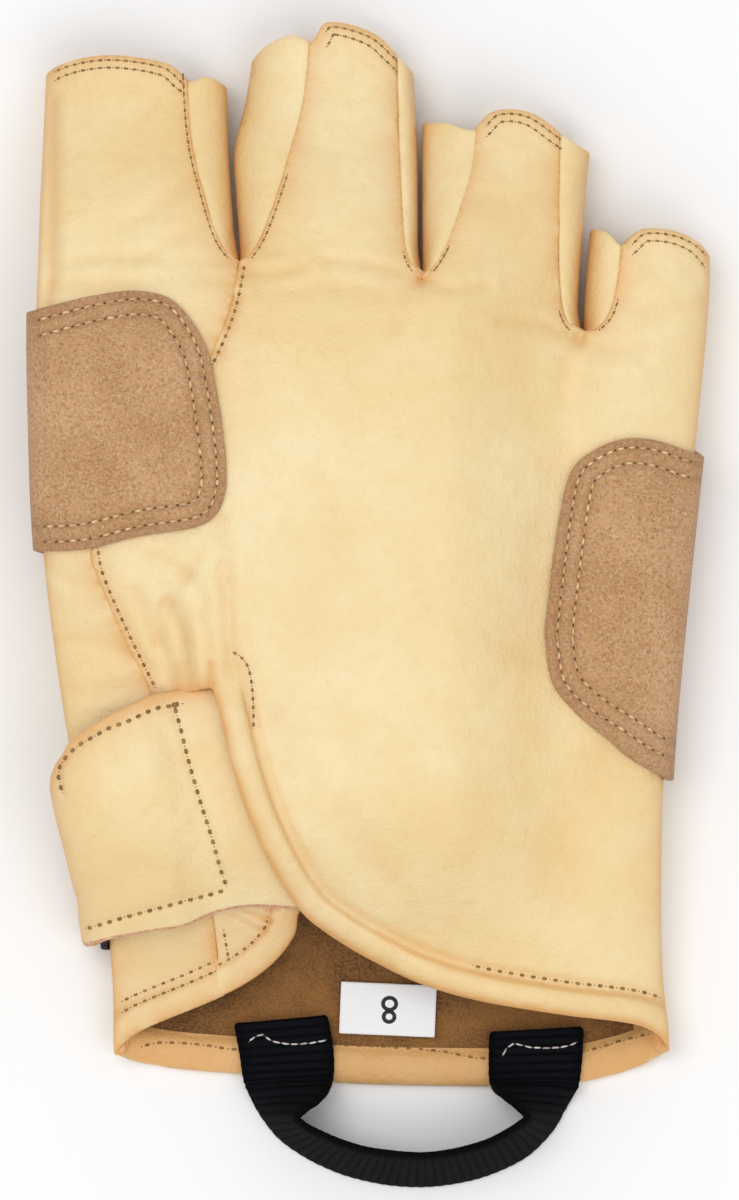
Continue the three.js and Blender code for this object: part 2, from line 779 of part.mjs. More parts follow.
// Back of the hand: the overlap with its turned edge, and the index side with the underlap's
const sideSeam = splinePoints(SIDE_SEAM, SEAM_LINE_STEPS);
const overlapEdge = splinePoints(OVERLAP_EDGE, EDGE_STEPS.overlap);
const underlapEdge = splinePoints(UNDERLAP_EDGE, EDGE_STEPS.underlap);
const slitTop = SLIT_TOP * GLOVE_LENGTH;
const seamAtCuff = SEAM_AT_CUFF * HAND_WIDTH;
const backOutline = [
  new THREE.Vector2(sideSeam[0].x, FAR),
  ...movedAside(sideSeam, GAP / 2).filter((p) => p.y > slitTop),
  ...overlapEdge.filter((p) => p.y < slitTop),
  new THREE.Vector2(FAR, overlapEdge[overlapEdge.length - 1].y),
  new THREE.Vector2(FAR, FAR),
];
const backTop = (x, y) => backPoint(x, y, 0, false).z;
const underTop = (x, y) => backPoint(x, y, 0, true).z;
const rollLine = splinePoints(OVERLAP_EDGE, ROLL_STEPS.overlap).slice(2, -1);
const overlapRoll = edgeRoll(
  movedAside(rollLine, ROLL_WIDTH * ROLL_INSET),
  backTop,
  ROLL_WIDTH,
  ROLL_HEIGHT,
  ROLL_HEIGHT / 2 - LEATHER + GAP / 2,
);
const upperShell = panelShell.intersect(upper);
const back = largest(upperShell.intersect(prism(backOutline)).add(overlapRoll.intersect(upper)));

const underShell = wholeHand(0, true)
  .subtract(wholeHand(-LEATHER, true))
  .subtract(gussetRegion("index_middle", GAP / 2))
  .intersect(upper);
const underRoll = edgeRoll(
  movedAside(
    splinePoints(UNDERLAP_EDGE, ROLL_STEPS.underlap)
      .filter((p) => p.y < STRAP_ROWS[0].low * GLOVE_LENGTH - ROLL_WIDTH / 2)
      .slice(0, -1),
    -ROLL_WIDTH * ROLL_INSET,
  ),
  underTop,
  ROLL_WIDTH,
  ROLL_HEIGHT * 0.85,
  -LEATHER / 2,
).intersect(upper);
const seamLeft = movedAside(sideSeam, -GAP / 2);
const indexOutline = [
  new THREE.Vector2(-FAR, FAR),
  new THREE.Vector2(-FAR, underlapEdge[underlapEdge.length - 1].y),
  ...underlapEdge.filter((p) => p.x < seamAtCuff).reverse(),
  ...seamLeft.filter((p) => p.y > SEAM_END.index * GLOVE_LENGTH).reverse(),
  new THREE.Vector2(seamLeft[0].x, FAR),
];
const indexRegion = prism(indexOutline);
const indexSide = largest(underShell.add(underRoll).intersect(indexRegion));

const tongueOutline = [
  ...movedAside(sideSeam, GAP / 2).filter((p) => p.y < slitTop - GAP && p.y > SEAM_END.tongue * GLOVE_LENGTH),
  ...underlapEdge.filter((p) => p.x > seamAtCuff).reverse(),
  ...[
    [-0.12, 0.23],
    [-0.19, 0.33],
    [-0.21, 0.384],
  ].map(plan),
];
const tongueRegion = prism(tongueOutline);
const tongueRollOutline = [
  ...tongueOutline.slice(0, -3),
  plan([0.1, 0.2]),
  ...tongueOutline.slice(-3),
];
const tongue = largest(
  underShell
    .intersect(tongueRegion)
    .add(underRoll.intersect(prism(tongueRollOutline)))
    .subtract(indexRegion)
    .subtract(back),
);

// Gussets between the fingers
const gussets = Object.fromEntries(
  gussetNames.map((name) => [name, largest(handShell.intersect(gussetRegion(name, -GAP / 2)))]),
);

// Suede guard
const guardShell = wholeHand(GAP + SUEDE).subtract(wholeHand(GAP));
const patchPrism = (rows) => prism(new THREE.SplineCurve(rows.map(plan)).getPoints(PATCH_STEPS).reverse());
const guard = largest(
  guardShell
    .intersect(halfSpace(true, 0))
    .intersect(patchPrism(INDEX_PATCH).add(patchPrism(LITTLE_PATCH)))
    .add(
      guardShell.intersect(halfSpace(false, -SUEDE)).intersect(prism(PALM_PATCH.map(plan).reverse())),
    )
    .subtract(thumbStall(GAP, 0)),
);

// A band round the wrist's side, its middle at the given distance out from the hand
function wristBand(rows, distance, thickness) {
  const [low, high] = [column(rows, "turn", "low"), column(rows, "turn", "high")];
  const [first, last] = [rows[0].turn, rows[rows.length - 1].turn];
  const surface = (u, v) => {
    const turn = first + (last - first) * v;
    const y = (low(turn) + (high(turn) - low(turn)) * u) * GLOVE_LENGTH;
    return sectionPoint(handSection(y), y, (turn * Math.PI) / 180, 0, HAND_SQUARENESS, true);
  };
  const reach = (u, v) => distance(first + (last - first) * v);
  return sheet(surface, BAND_STEPS.across, BAND_STEPS.round, thickness, reach).simplify(EVENNESS);
}
const loopTape = wristBand(TAPE_ROWS, () => TAPE_SEAT + TAPE_THICKNESS / 2, TAPE_THICKNESS);
const hookTape = wristBand(TAPE_ROWS, () => TAPE_SEAT + BAND_GAP + TAPE_THICKNESS * 1.5, TAPE_THICKNESS);
// The strap lies straight on the underlap at the slit, and over both tapes at the side.
const strapFlat = BAND_GAP + STRAP_THICKNESS / 2;
const strapOnTapes = TAPE_SEAT + 2 * BAND_GAP + 2 * TAPE_THICKNESS + STRAP_THICKNESS / 2;
const strapReach = (turn) =>
  strapFlat + (strapOnTapes - strapFlat) * smoothStep(RISE_START, RISE_END, turn);
const strap = wristBand(STRAP_ROWS, strapReach, STRAP_THICKNESS);

// Webbing loop: flat on the palm at both ends and over the cuff hem, then on edge past it
function loopBand() {
  const rows = LOOP_ROWS.map((row, i) => ({ ...row, step: i }));
  const [across, along, lean] = ["across", "along", "lean"].map((name) => column(rows, "step", name));
  const centre = (v) => {
    const step = v * (rows.length - 1);
    return {
      x: across(step) * HAND_WIDTH,
      y: along(step) * GLOVE_LENGTH,
      lean: THREE.MathUtils.degToRad(lean(step)),
    };
  };
  const flat = (y) => restHeight(y) + LEATHER + (CUFF_HEM_HEIGHT + WEBBING_THICKNESS) / 2 + GAP;
  const surface = (u, v) => {
    const { x, y, lean: angle } = centre(v);
    const [before, after] = [centre(Math.max(0, v - 0.01)), centre(Math.min(1, v + 0.01))];
    const forward = new THREE.Vector2(after.x - before.x, after.y - before.y).normalize();
    const aside = (0.5 - u) * WEBBING_WIDTH;
    const standing = smoothStep(0, 50, (angle * 180) / Math.PI);
    const low = GAP + (WEBBING_WIDTH / 2) * Math.sin(angle) + (WEBBING_THICKNESS / 2) * Math.cos(angle);
    const z = flat(y) * (1 - standing) + low * standing + aside * Math.sin(angle);
    return new THREE.Vector3(
      x - forward.y * aside * Math.cos(angle),
      y + forward.x * aside * Math.cos(angle),
      z,
    );
  };
  return sheet(surface, LOOP_STEPS.across, LOOP_STEPS.along, WEBBING_THICKNESS);
}
const pullLoop = loopBand();

const finish = (color, roughness) => new THREE.MeshStandardMaterial({ color, roughness, metalness: 0 });
const GRAIN = finish("#f0dcae", 0.55);
const SUEDE_NAP = finish("#be9468", 0.95);
const BLACK_WEBBING = finish("#15161a", 0.85);
const BLACK_TAPE = finish("#17171a", 0.95);
const WHITE_TAG = finish("#f5f5f2", 0.7);

function meshOf(name, solid, material) {
  const { vertProperties, triVerts } = solid.getMesh();
  const geometry = new THREE.BufferGeometry();
  geometry.setAttribute("position", new THREE.BufferAttribute(vertProperties, 3));
  geometry.setIndex(new THREE.BufferAttribute(triVerts, 1));
  const faceted = geometry.toNonIndexed();
  faceted.computeVertexNormals();
  const mesh = new THREE.Mesh(faceted, material);
  mesh.name = name;
  return mesh;
}

function labelMesh() {
  const place = plan([LABEL_PLACE.across, LABEL_PLACE.along]);
  const mesh = new THREE.Mesh(new THREE.BoxGeometry(LABEL_WIDTH, LABEL_HEIGHT, LABEL_THICKNESS), WHITE_TAG);
  mesh.name = "size_label";
  mesh.position.set(place.x, place.y, palmFloor(place.x, place.y) + 2 * GAP + LABEL_THICKNESS / 2);
  mesh.rotation.z = THREE.MathUtils.degToRad(LABEL_PLACE.turn);
  return mesh;
}

const glove = new THREE.Group();
glove.add(
  meshOf("back_panel", back, GRAIN),
  meshOf("index_panel", indexSide, GRAIN),
  meshOf("palm_panel", palm, GRAIN),
  meshOf("cuff_tongue", tongue, GRAIN),
  meshOf("thumb_stall", thumb, GRAIN),
  ...gussetNames.map((name) => meshOf(`gusset_${name}`, gussets[name], GRAIN)),
  meshOf("suede_guard", guard, SUEDE_NAP),
  meshOf("loop_tape", loopTape, BLACK_TAPE),
  meshOf("hook_tape", hookTape, BLACK_TAPE),
  meshOf("wrist_strap", strap, GRAIN),
  meshOf("pull_loop", pullLoop, BLACK_WEBBING),
  labelMesh(),
);
const extent = new THREE.Box3().setFromObject(glove);
const middle = extent.getCenter(new THREE.Vector3());
glove.position.set(-middle.x, -middle.y, -extent.min.z);

export default glove;
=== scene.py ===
"""A half-finger leather glove for rope work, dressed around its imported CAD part.

The skin of the glove is the same lofted form as the part's: superellipse sections for the hand and for
each finger stall. Leather panels are grids over plan outlines, lifted to that skin, closed to a true
thickness with rounded edges, and sewn with thread that is modelled stitch by stitch.
Lengths are millimetres in the part's own frame until a mesh is made, which is in metres.
"""

import logging
from dataclasses import dataclass
from enum import Enum
from typing import Callable, Optional, Sequence

import bpy
import numpy as np
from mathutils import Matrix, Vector


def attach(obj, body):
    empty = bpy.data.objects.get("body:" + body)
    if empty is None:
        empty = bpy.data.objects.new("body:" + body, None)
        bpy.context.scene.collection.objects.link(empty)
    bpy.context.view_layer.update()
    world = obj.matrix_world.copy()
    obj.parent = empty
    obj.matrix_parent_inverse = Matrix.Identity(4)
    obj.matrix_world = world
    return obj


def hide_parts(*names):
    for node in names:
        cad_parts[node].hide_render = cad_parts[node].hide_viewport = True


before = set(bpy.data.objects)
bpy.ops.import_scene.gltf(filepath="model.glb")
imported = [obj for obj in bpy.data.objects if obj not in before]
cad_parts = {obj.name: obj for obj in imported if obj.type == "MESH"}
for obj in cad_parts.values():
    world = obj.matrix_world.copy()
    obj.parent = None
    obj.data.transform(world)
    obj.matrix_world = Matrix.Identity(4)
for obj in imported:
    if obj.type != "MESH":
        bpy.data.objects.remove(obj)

logging.basicConfig(level=logging.INFO, format="%(message)s")
log = logging.getLogger("glove")

Array = np.ndarray
PlanLine = Callable[[Array], Array]
Material = bpy.types.Material
Socket = bpy.types.NodeSocket

# The part's sizes, in millimetres
HAND_WIDTH = 112.0
GLOVE_LENGTH = 178.6
HAND_HEIGHT = 19.0
FINGER_HEIGHT = 15.5
LEATHER = 1.3
SUEDE = 1.4
GAP = 0.3
TAPE_SEAT = 0.45
TAPE_GAP = 0.15
BAND_GAP = 0.42
STRAP_THICKNESS = 1.7
TAPE_THICKNESS = 1.1
ROLL_WIDTH = 4.6
ROLL_HEIGHT = 3.0
CUFF_HEM_WIDTH = 5.6
CUFF_HEM_HEIGHT = 2.4
THUMB_WIDTH = 27.0
THUMB_HEIGHT = 9.5
WEBBING_WIDTH = 15.0
WEBBING_THICKNESS = 1.6
LABEL_WIDTH = 16.0
LABEL_HEIGHT = 8.6
LABEL_THICKNESS = 0.5
MID_SHARE = 0.45
HAND_SQUARENESS = 3.2
FINGER_SQUARENESS = 2.4
UNDERSIDE_FLATNESS = 1.3
WRIST_SLOPE = 1.25
SLIT_SINK = LEATHER + (STRAP_THICKNESS + 2 * BAND_GAP) * WRIST_SLOPE
GUARD_REST = SUEDE + GAP
THUMB_REST = THUMB_HEIGHT + 2 * GAP
# From the part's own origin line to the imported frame
SHIFT = np.array([0.203, -80.179, 0.028])
MM = 0.001
FLOOR_TOUCH = 0.01  # what would sink into the floor is pressed flat at this height

# Where the thumb, the guard and the wrist's slit begin and end, as shares of the width and the length
THUMB_RISE, THUMB_FALL, THUMB_SIDE = (0.09, 0.27), (0.68, 0.97), (0.1, 0.3)
GUARD_RISE, GUARD_FALL = (0.1, 0.28), (0.75, 0.93)
SLIT_END, SLIT_SIDE = (0.39, 0.51), (-0.31, -0.24)
# Where the hand's sides run on into the end fingers'
INTO_INDEX, INTO_LITTLE = (0.72, 0.8), (0.64, 0.76)

# Seams, turned edges and hems
SEAM_INSET = 0.4  # how far a panel's edge keeps from its seam line, for the rounded rim
ROLL_OVERLAP = -0.35  # the same on the underlap's roll, where two panels are one turned edge
UNDERLAP_ROWS = (4.1, 5.7)  # the two rows of stitches along the underlap's turned edge
THICKEST = 0.46  # where a turned edge is thickest, as a share of its width
ROLLED, HEMMED = 0.05, 0.1  # the hide counts as turned over from this swell on
HEM_ROW_GAPS = (0.85, 2.15)  # the two rows of stitches at a finger's hem, from its edge
HEM_FOLD_DEPTH = 3.4  # how far the finger hem is turned in
HEM_ROW_ENDS = {
    "index": (-0.474, -0.278),
    "middle": (-0.066, 0.042),
    "ring": (0.174, 0.287),
    "little": (0.393, 0.503),
}

# How far the hide is tinted to its darker orange, from 0 for clean hide to 1 for the darkest: a plain tone
# on turned-in faces, painted shade in creases, painted shadow of the strap near the cuff
TURNED_TONE = 1.05
CUFF_SHADE = 0.22
CREASE_SHADE = 0.45

# Sections of the hand: along, left, right, height
HAND_ROWS = np.array([
    (-0.03, -0.383, 0.449, 0.64), (0.042, -0.386, 0.45, 0.66), (0.1, -0.388, 0.441, 0.74),
    (0.174, -0.4, 0.438, 0.86), (0.268, -0.434, 0.44, 0.95), (0.362, -0.461, 0.45, 1.0),
    (0.503, -0.489, 0.472, 1.0), (0.644, -0.498, 0.496, 0.93), (0.738, -0.4995, 0.51, 0.83),
    (0.8, -0.4965, 0.511, 0.76),
])
# Sections of each finger stall: along, left, right, height
FINGER_ROWS = {
    "index": np.array([
        (0.7, -0.499, -0.19, 1.0), (0.785, -0.497, -0.2, 1.04), (0.833, -0.495, -0.206, 1.02),
        (0.88, -0.492, -0.211, 0.97), (0.927, -0.489, -0.214, 0.92), (0.985, -0.485, -0.217, 0.88),
    ]),
    "middle": np.array([
        (0.7, -0.21, 0.07, 1.0), (0.785, -0.198, 0.073, 1.04), (0.833, -0.202, 0.073, 1.02),
        (0.88, -0.205, 0.072, 0.97), (0.927, -0.188, 0.069, 0.92), (1.02, -0.166, 0.058, 0.86),
    ]),
    "ring": np.array([
        (0.68, 0.08, 0.31, 1.0), (0.76, 0.078, 0.316, 1.02), (0.8, 0.077, 0.321, 1.0),
        (0.85, 0.077, 0.327, 0.95), (0.88, 0.077, 0.332, 0.91), (0.94, 0.08, 0.33, 0.87),
    ]),
    "little": np.array([
        (0.62, 0.32, 0.494, 0.98), (0.69, 0.318, 0.5025, 0.98), (0.73, 0.32, 0.509, 0.95),
        (0.77, 0.325, 0.511, 0.9), (0.83, 0.334, 0.509, 0.84),
    ]),
}
# Plan curves, (across, along)
HEMS = {
    "index": [
        (-0.51, 0.93), (-0.48, 0.957), (-0.4, 0.969), (-0.31, 0.962), (-0.272, 0.945), (-0.24, 0.949),
        (-0.2, 0.935),
    ],
    "middle": [
        (-0.2, 0.945), (-0.165, 0.975), (-0.12, 0.988), (-0.085, 0.982), (-0.06, 1.0), (0.0, 0.991),
        (0.038, 0.972), (0.08, 0.945),
    ],
    "ring": [
        (0.06, 0.905), (0.11, 0.906), (0.155, 0.899), (0.19, 0.917), (0.24, 0.915), (0.29, 0.894),
        (0.35, 0.872),
    ],
    "little": [
        (0.31, 0.808), (0.35, 0.803), (0.378, 0.79), (0.41, 0.805), (0.46, 0.803), (0.5, 0.79),
        (0.53, 0.765),
    ],
}
GUSSET_SEAMS = {
    "index_middle": [
        (-0.274, 1.02), (-0.273, 0.95), (-0.266, 0.89), (-0.25, 0.845), (-0.224, 0.794), (-0.195, 0.774),
        (-0.17, 0.79), (-0.147, 0.825), (-0.12, 0.88), (-0.098, 0.94), (-0.084, 1.06),
    ],
    "middle_ring": [
        (0.04, 1.06), (0.043, 0.93), (0.049, 0.84), (0.056, 0.785), (0.078, 0.762), (0.106, 0.782),
        (0.136, 0.83), (0.155, 0.88), (0.165, 0.98),
    ],
    "ring_little": [
        (0.288, 0.96), (0.286, 0.86), (0.285, 0.77), (0.294, 0.722), (0.32, 0.707), (0.35, 0.718),
        (0.366, 0.743), (0.376, 0.79), (0.38, 0.86),
    ],
}
CROTCHES = {"index_middle": (-0.195, 0.774), "middle_ring": (0.078, 0.762), "ring_little": (0.32, 0.707)}
# The line on which hand and fingers meet
CROTCH_LINE = np.array([(-0.6, 0.774), (-0.195, 0.774), (0.078, 0.762), (0.32, 0.707), (0.6, 0.664)])
SIDE_SEAM = [
    (-0.195, 0.774), (-0.209, 0.73), (-0.236, 0.687), (-0.29, 0.62), (-0.37, 0.545), (-0.415, 0.505),
    (-0.405, 0.475), (-0.365, 0.418), (-0.325, 0.367), (-0.28, 0.28), (-0.24, 0.17), (-0.226, 0.1),
    (-0.218, 0.03),
]
OVERLAP_EDGE = [
    (-0.234, 0.405), (-0.237, 0.39), (-0.23, 0.365), (-0.195, 0.278), (-0.15, 0.21), (-0.105, 0.165),
    (-0.06, 0.141), (0.0, 0.118), (0.08, 0.094), (0.17, 0.078), (0.29, 0.0655), (0.34, 0.0618),
    (0.385, 0.058), (0.412, 0.0535), (0.432, 0.0465), (0.444, 0.038), (0.4515, 0.03), (0.456, 0.026),
]
UNDERLAP_EDGE = [
    (-0.06, 0.2), (-0.105, 0.165), (-0.115, 0.14), (-0.145, 0.115), (-0.19, 0.094), (-0.25, 0.076),
    (-0.31, 0.0605), (-0.34, 0.0522), (-0.362, 0.0437), (-0.376, 0.0355), (-0.3865, 0.0275),
    (-0.39, 0.024),
]
TONGUE_EDGE = [(-0.11, 0.175), (-0.13, 0.23), (-0.195, 0.33), (-0.215, 0.378)]
TONGUE_SEAM = [(-0.231, 0.145), (-0.226, 0.125), (-0.2245, 0.118)]
PALM_EDGE = [
    (-0.41, 0.042), (-0.375, 0.026), (-0.3, 0.016), (-0.195, 0.01), (-0.05, 0.002), (0.1, -0.001),
    (0.28, 0.0), (0.38, 0.012), (0.44, 0.028), (0.47, 0.046),
]
# The guard's edges on both sides of the back, and under the palm
INDEX_PATCH_LOW = [
    (-0.53, 0.503), (-0.43, 0.505), (-0.34, 0.518), (-0.26, 0.526), (-0.228, 0.54), (-0.216, 0.565),
]
INDEX_PATCH_HIGH = [
    (-0.53, 0.72), (-0.46, 0.732), (-0.4, 0.741), (-0.34, 0.745), (-0.29, 0.735), (-0.25, 0.7),
    (-0.233, 0.66), (-0.219, 0.6), (-0.216, 0.565),
]
LITTLE_PATCH_LOW = [
    (0.268, 0.42), (0.28, 0.378), (0.32, 0.35), (0.38, 0.325), (0.43, 0.305), (0.53, 0.28),
]
LITTLE_PATCH_HIGH = [
    (0.268, 0.42), (0.272, 0.45), (0.288, 0.53), (0.303, 0.575), (0.335, 0.595), (0.38, 0.606),
    (0.43, 0.604), (0.49, 0.592), (0.53, 0.588),
]
PALM_PATCH_HIGH = [(-0.56, 0.72), (-0.25, 0.715), (0.05, 0.7), (0.28, 0.645), (0.56, 0.588)]
PALM_PATCH_LOW = [
    (-0.56, 0.503), (-0.28, 0.495), (-0.1, 0.44), (0.05, 0.37), (0.2, 0.32), (0.4, 0.295), (0.56, 0.28),
]
# Thumb stall: across, along, width, height, rise
THUMB_ROWS = np.array([
    (-0.345, 0.335, 0.45, 0.4, 0.74), (-0.325, 0.348, 0.85, 0.85, 0.72), (-0.295, 0.368, 1.0, 1.0, 0.6),
    (-0.24, 0.405, 1.03, 1.0, 0.22), (-0.18, 0.447, 1.0, 1.0, 0.0), (-0.08, 0.52, 0.97, 1.0, 0.0),
    (0.0, 0.578, 0.93, 1.0, 0.0),
])
# Strap and tapes: turn round the wrist in degrees, low and high edge along the glove
STRAP_ROWS = np.array([
    (97, 0.175, 0.372), (108, 0.177, 0.372), (123, 0.166, 0.3625), (130, 0.164, 0.354),
    (144, 0.159, 0.337), (158, 0.154, 0.321), (165, 0.151, 0.309), (172, 0.145, 0.295),
    (180, 0.137, 0.281), (193, 0.131, 0.27),
])
HOOK_ROWS = np.array([
    (136, 0.17, 0.33), (158, 0.159, 0.31), (168, 0.153, 0.293), (180, 0.142, 0.272), (191, 0.137, 0.262),
])
PILE_ROWS = np.array([
    (136, 0.17, 0.33), (158, 0.157, 0.31), (168, 0.143, 0.293), (180, 0.129, 0.272), (191, 0.126, 0.262),
])
RISE_TURNS = (115.0, 130.0)  # over these the strap climbs from the flap onto the tapes
# The webbing loop's outer and inner edge, opposite each other
LOOP_OUTER = [
    (-0.201, 0.0555), (-0.1928, 0.0273), (-0.1875, 0.0047), (-0.1815, -0.0056), (-0.1755, -0.0141),
    (-0.1695, -0.0216), (-0.162, -0.0292), (-0.1515, -0.0386), (-0.135, -0.0508), (-0.1095, -0.063),
    (-0.075, -0.0753), (-0.03, -0.0865), (0.03, -0.0945), (0.09, -0.0959), (0.15, -0.0903),
    (0.195, -0.0809), (0.2325, -0.0687), (0.2595, -0.0536), (0.2775, -0.0395), (0.288, -0.0273),
    (0.297, -0.0179), (0.3045, -0.0094), (0.312, 0.0019), (0.3165, 0.0282), (0.318, 0.0508),
]
LOOP_INNER = [
    (-0.0675, 0.063), (-0.0593, 0.0329), (-0.0585, 0.0075), (-0.0645, -0.0056), (-0.0795, -0.016),
    (-0.0975, -0.0235), (-0.108, -0.0301), (-0.105, -0.0343), (-0.093, -0.0395), (-0.072, -0.0461),
    (-0.0435, -0.0536), (-0.006, -0.0607), (0.0435, -0.0649), (0.087, -0.0658), (0.132, -0.0616),
    (0.174, -0.0541), (0.2055, -0.0442), (0.225, -0.0362), (0.2348, -0.031), (0.2295, -0.0254),
    (0.2145, -0.0174), (0.1995, -0.0103), (0.1845, -0.0009), (0.183, 0.0254), (0.1837, 0.0461),
]
LABEL_PLACE = (0.027, 0.069, -2.5)  # across, along, and turn in degrees

# Soft creases: plan line, depth and half width
BACK_CREASES = [
    ([(-0.222, 0.5315), (-0.216, 0.475), (-0.2115, 0.428), (-0.207, 0.3979)], 0.4, 1.3),
    ([(-0.33, 0.4976), (-0.282, 0.4826), (-0.246, 0.4562)], 0.25, 1.1),
    ([(-0.249, 0.5051), (-0.279, 0.4769), (-0.306, 0.4525), (-0.315, 0.4186)], 0.35, 1.0),
    ([(-0.3, 0.4525), (-0.279, 0.4186), (-0.267, 0.3772)], 0.3, 1.0),
    ([(-0.246, 0.4468), (-0.2415, 0.4092), (-0.249, 0.3716)], 0.28, 1.2),
    ([(-0.351, 0.4656), (-0.333, 0.4327), (-0.315, 0.4092)], 0.2, 0.9),
    ([(-0.189, 0.7666), (-0.15, 0.7629), (-0.099, 0.7685)], 0.28, 1.0),
    ([(-0.18, 0.7535), (-0.1275, 0.7478), (-0.06, 0.7535)], 0.16, 1.6),
    ([(-0.063, 0.7742), (0.003, 0.7704), (0.069, 0.7591)], 0.26, 1.1),
    ([(-0.045, 0.7516), (0.0225, 0.7478), (0.09, 0.7535)], 0.16, 1.7),
    ([(0.081, 0.7572), (0.12, 0.7478), (0.174, 0.7516)], 0.22, 1.0),
    ([(0.075, 0.7572), (0.051, 0.7384), (0.039, 0.7102)], 0.2, 1.2),
    ([(0.195, 0.7177), (0.255, 0.7158), (0.309, 0.7027)], 0.28, 1.1),
    ([(0.321, 0.7008), (0.36, 0.6914), (0.42, 0.6951)], 0.2, 1.3),
    ([(0.312, 0.7008), (0.294, 0.6763), (0.285, 0.6443)], 0.2, 1.4),
    ([(0.384, 0.7384), (0.435, 0.7309), (0.501, 0.7384)], 0.14, 1.6),
    ([(0.177, 0.8325), (0.225, 0.8268), (0.279, 0.8325)], 0.12, 1.8),
    ([(-0.096, 0.8889), (-0.0375, 0.8795), (0.036, 0.8889)], 0.12, 2.0),
    ([(-0.201, 0.7384), (-0.213, 0.7102), (-0.225, 0.6914)], 0.22, 1.4),
    ([(-0.162, 0.3622), (-0.105, 0.3245), (-0.06, 0.2681), (0.03, 0.2022)], 0.22, 3.5),
    ([(0.285, 0.5785), (0.255, 0.4938), (0.24, 0.4092)], 0.25, 4.0),
    ([(0.345, 0.3057), (0.3, 0.2493), (0.285, 0.174)], 0.3, 4.5),
]
INDEX_CREASES = [
    ([(-0.255, 0.8551), (-0.303, 0.8325), (-0.363, 0.808)], 0.22, 1.4),
    ([(-0.234, 0.8118), (-0.285, 0.7948), (-0.345, 0.7779)], 0.16, 1.2),
    ([(-0.465, 0.7723), (-0.39, 0.7779), (-0.3, 0.7742), (-0.207, 0.7742)], 0.22, 1.2),
    ([(-0.471, 0.7553), (-0.375, 0.7525), (-0.27, 0.7591), (-0.213, 0.7553)], 0.22, 1.3),
    ([(-0.477, 0.9265), (-0.4755, 0.8513), (-0.477, 0.7854), (-0.48, 0.729)], 0.45, 1.1),
    ([(-0.489, 0.4938), (-0.45, 0.475), (-0.408, 0.4713)], 0.22, 1.2),
    ([(-0.468, 0.4186), (-0.42, 0.4186), (-0.369, 0.4073)], 0.2, 1.3),
    ([(-0.456, 0.3716), (-0.405, 0.3716), (-0.345, 0.3772)], 0.22, 1.3),
]
TONGUE_CREASES = [
    ([(-0.201, 0.1693), (-0.174, 0.1599), (-0.15, 0.1533)], 0.3, 0.6),
    ([(-0.204, 0.16), (-0.18, 0.1505), (-0.156, 0.142)], 0.22, 0.5),
    ([(-0.186, 0.173), (-0.162, 0.167), (-0.138, 0.165)], 0.26, 0.5),
]
STRAP_CREASES = [
    ([(-0.435, 0.174), (-0.39, 0.1928), (-0.33, 0.2004)], 0.12, 2.0),
    ([(-0.279, 0.174), (-0.27, 0.2116), (-0.255, 0.2493)], 0.1, 2.0),
]
CREASE_DEPTH = 1.6  # all creases, times their own depth

# Rows of stitches
SLIT_TOP_STITCHES = [
    (-0.207, 0.4082), (-0.1935, 0.4035), (-0.183, 0.3951), (-0.177, 0.381), (-0.174, 0.3603),
    (-0.174, 0.3358),
]
STRAP_BOX = [
    (-0.459, 0.2756), (-0.465, 0.2944), (-0.4545, 0.3085), (-0.435, 0.3198), (-0.4095, 0.3292),
    (-0.387, 0.3368), (-0.36, 0.3433), (-0.3345, 0.3509), (-0.315, 0.3556), (-0.2925, 0.3574),
]
STRAP_BOX_RIGHT = [
    (-0.2925, 0.3574), (-0.285, 0.3415), (-0.27, 0.3038), (-0.2535, 0.2681), (-0.237, 0.2352),
    (-0.2235, 0.2041), (-0.2145, 0.1872),
]
STRAP_BOX_LOW = [
    (-0.216, 0.1844), (-0.24, 0.1797), (-0.27, 0.175), (-0.315, 0.1674), (-0.36, 0.1599),
    (-0.3975, 0.1524), (-0.4275, 0.1467),
]
STRAP_KNOT = [(-0.302, 0.3578), (-0.279, 0.3592)]
PALM_HEM_ROW = [
    (-0.345, 0.0339), (-0.315, 0.0376), (-0.255, 0.0357), (-0.192, 0.031), (-0.0525, 0.0348),
    (0.045, 0.032), (0.105, 0.0292), (0.183, 0.0226), (0.318, 0.0292), (0.375, 0.0386), (0.42, 0.0461),
]
# The white thread that holds each end of the loop
LOOP_STITCHES_LEFT = [
    (-0.183, 0.0386), (-0.1755, 0.0423), (-0.162, 0.0452), (-0.147, 0.0395), (-0.12, 0.0367),
    (-0.09, 0.0376), (-0.066, 0.0404),
]
LOOP_STITCHES_RIGHT = [
    (0.1995, 0.0254), (0.207, 0.0329), (0.219, 0.0367), (0.24, 0.0339), (0.27, 0.0329), (0.297, 0.0348),
    (0.312, 0.0386),
]


class Side(Enum):
    """Which half of the glove a surface lies on."""

    BACK = 1
    PALM = -1


class Stitch(Enum):
    """Kinds of lockstitch: pitch, length that shows and radius of the thread."""

    FINGER_HEM = (1.45, 1.05, 0.17)
    GUSSET = (1.35, 1.0, 0.15)
    OVERLAP = (1.9, 1.1, 0.24)
    SLIT = (1.5, 1.0, 0.2)
    FINGER_SEAM = (1.5, 1.0, 0.24)
    SIDE_SEAM = (1.7, 1.0, 0.24)
    UNDERLAP = (1.7, 1.0, 0.2)
    TONGUE = (1.6, 1.0, 0.2)
    CUFF_INSIDE = (2.1, 1.1, 0.2)
    CUFF_OUTSIDE = (2.1, 1.1, 0.24)
    GUARD = (1.9, 1.3, 0.21)
    STRAP = (1.8, 1.2, 0.3)
    STRAP_KNOT = (3.0, 1.7, 0.42)
    LOOP = (1.5, 1.5, 0.16)


def smooth_step(start: float, end: float, value: Array) -> Array:
    """0 before start, 1 after end, and the cubic 3t² - 2t³ between them.

    Args:
        start: Where the step begins.
        end: Where it ends.
        value: Places at which it is taken.

    Returns:
        The step's height at each place.
    """
    share = np.clip((value - start) / (end - start), 0.0, 1.0)
    return share * share * (3.0 - 2.0 * share)


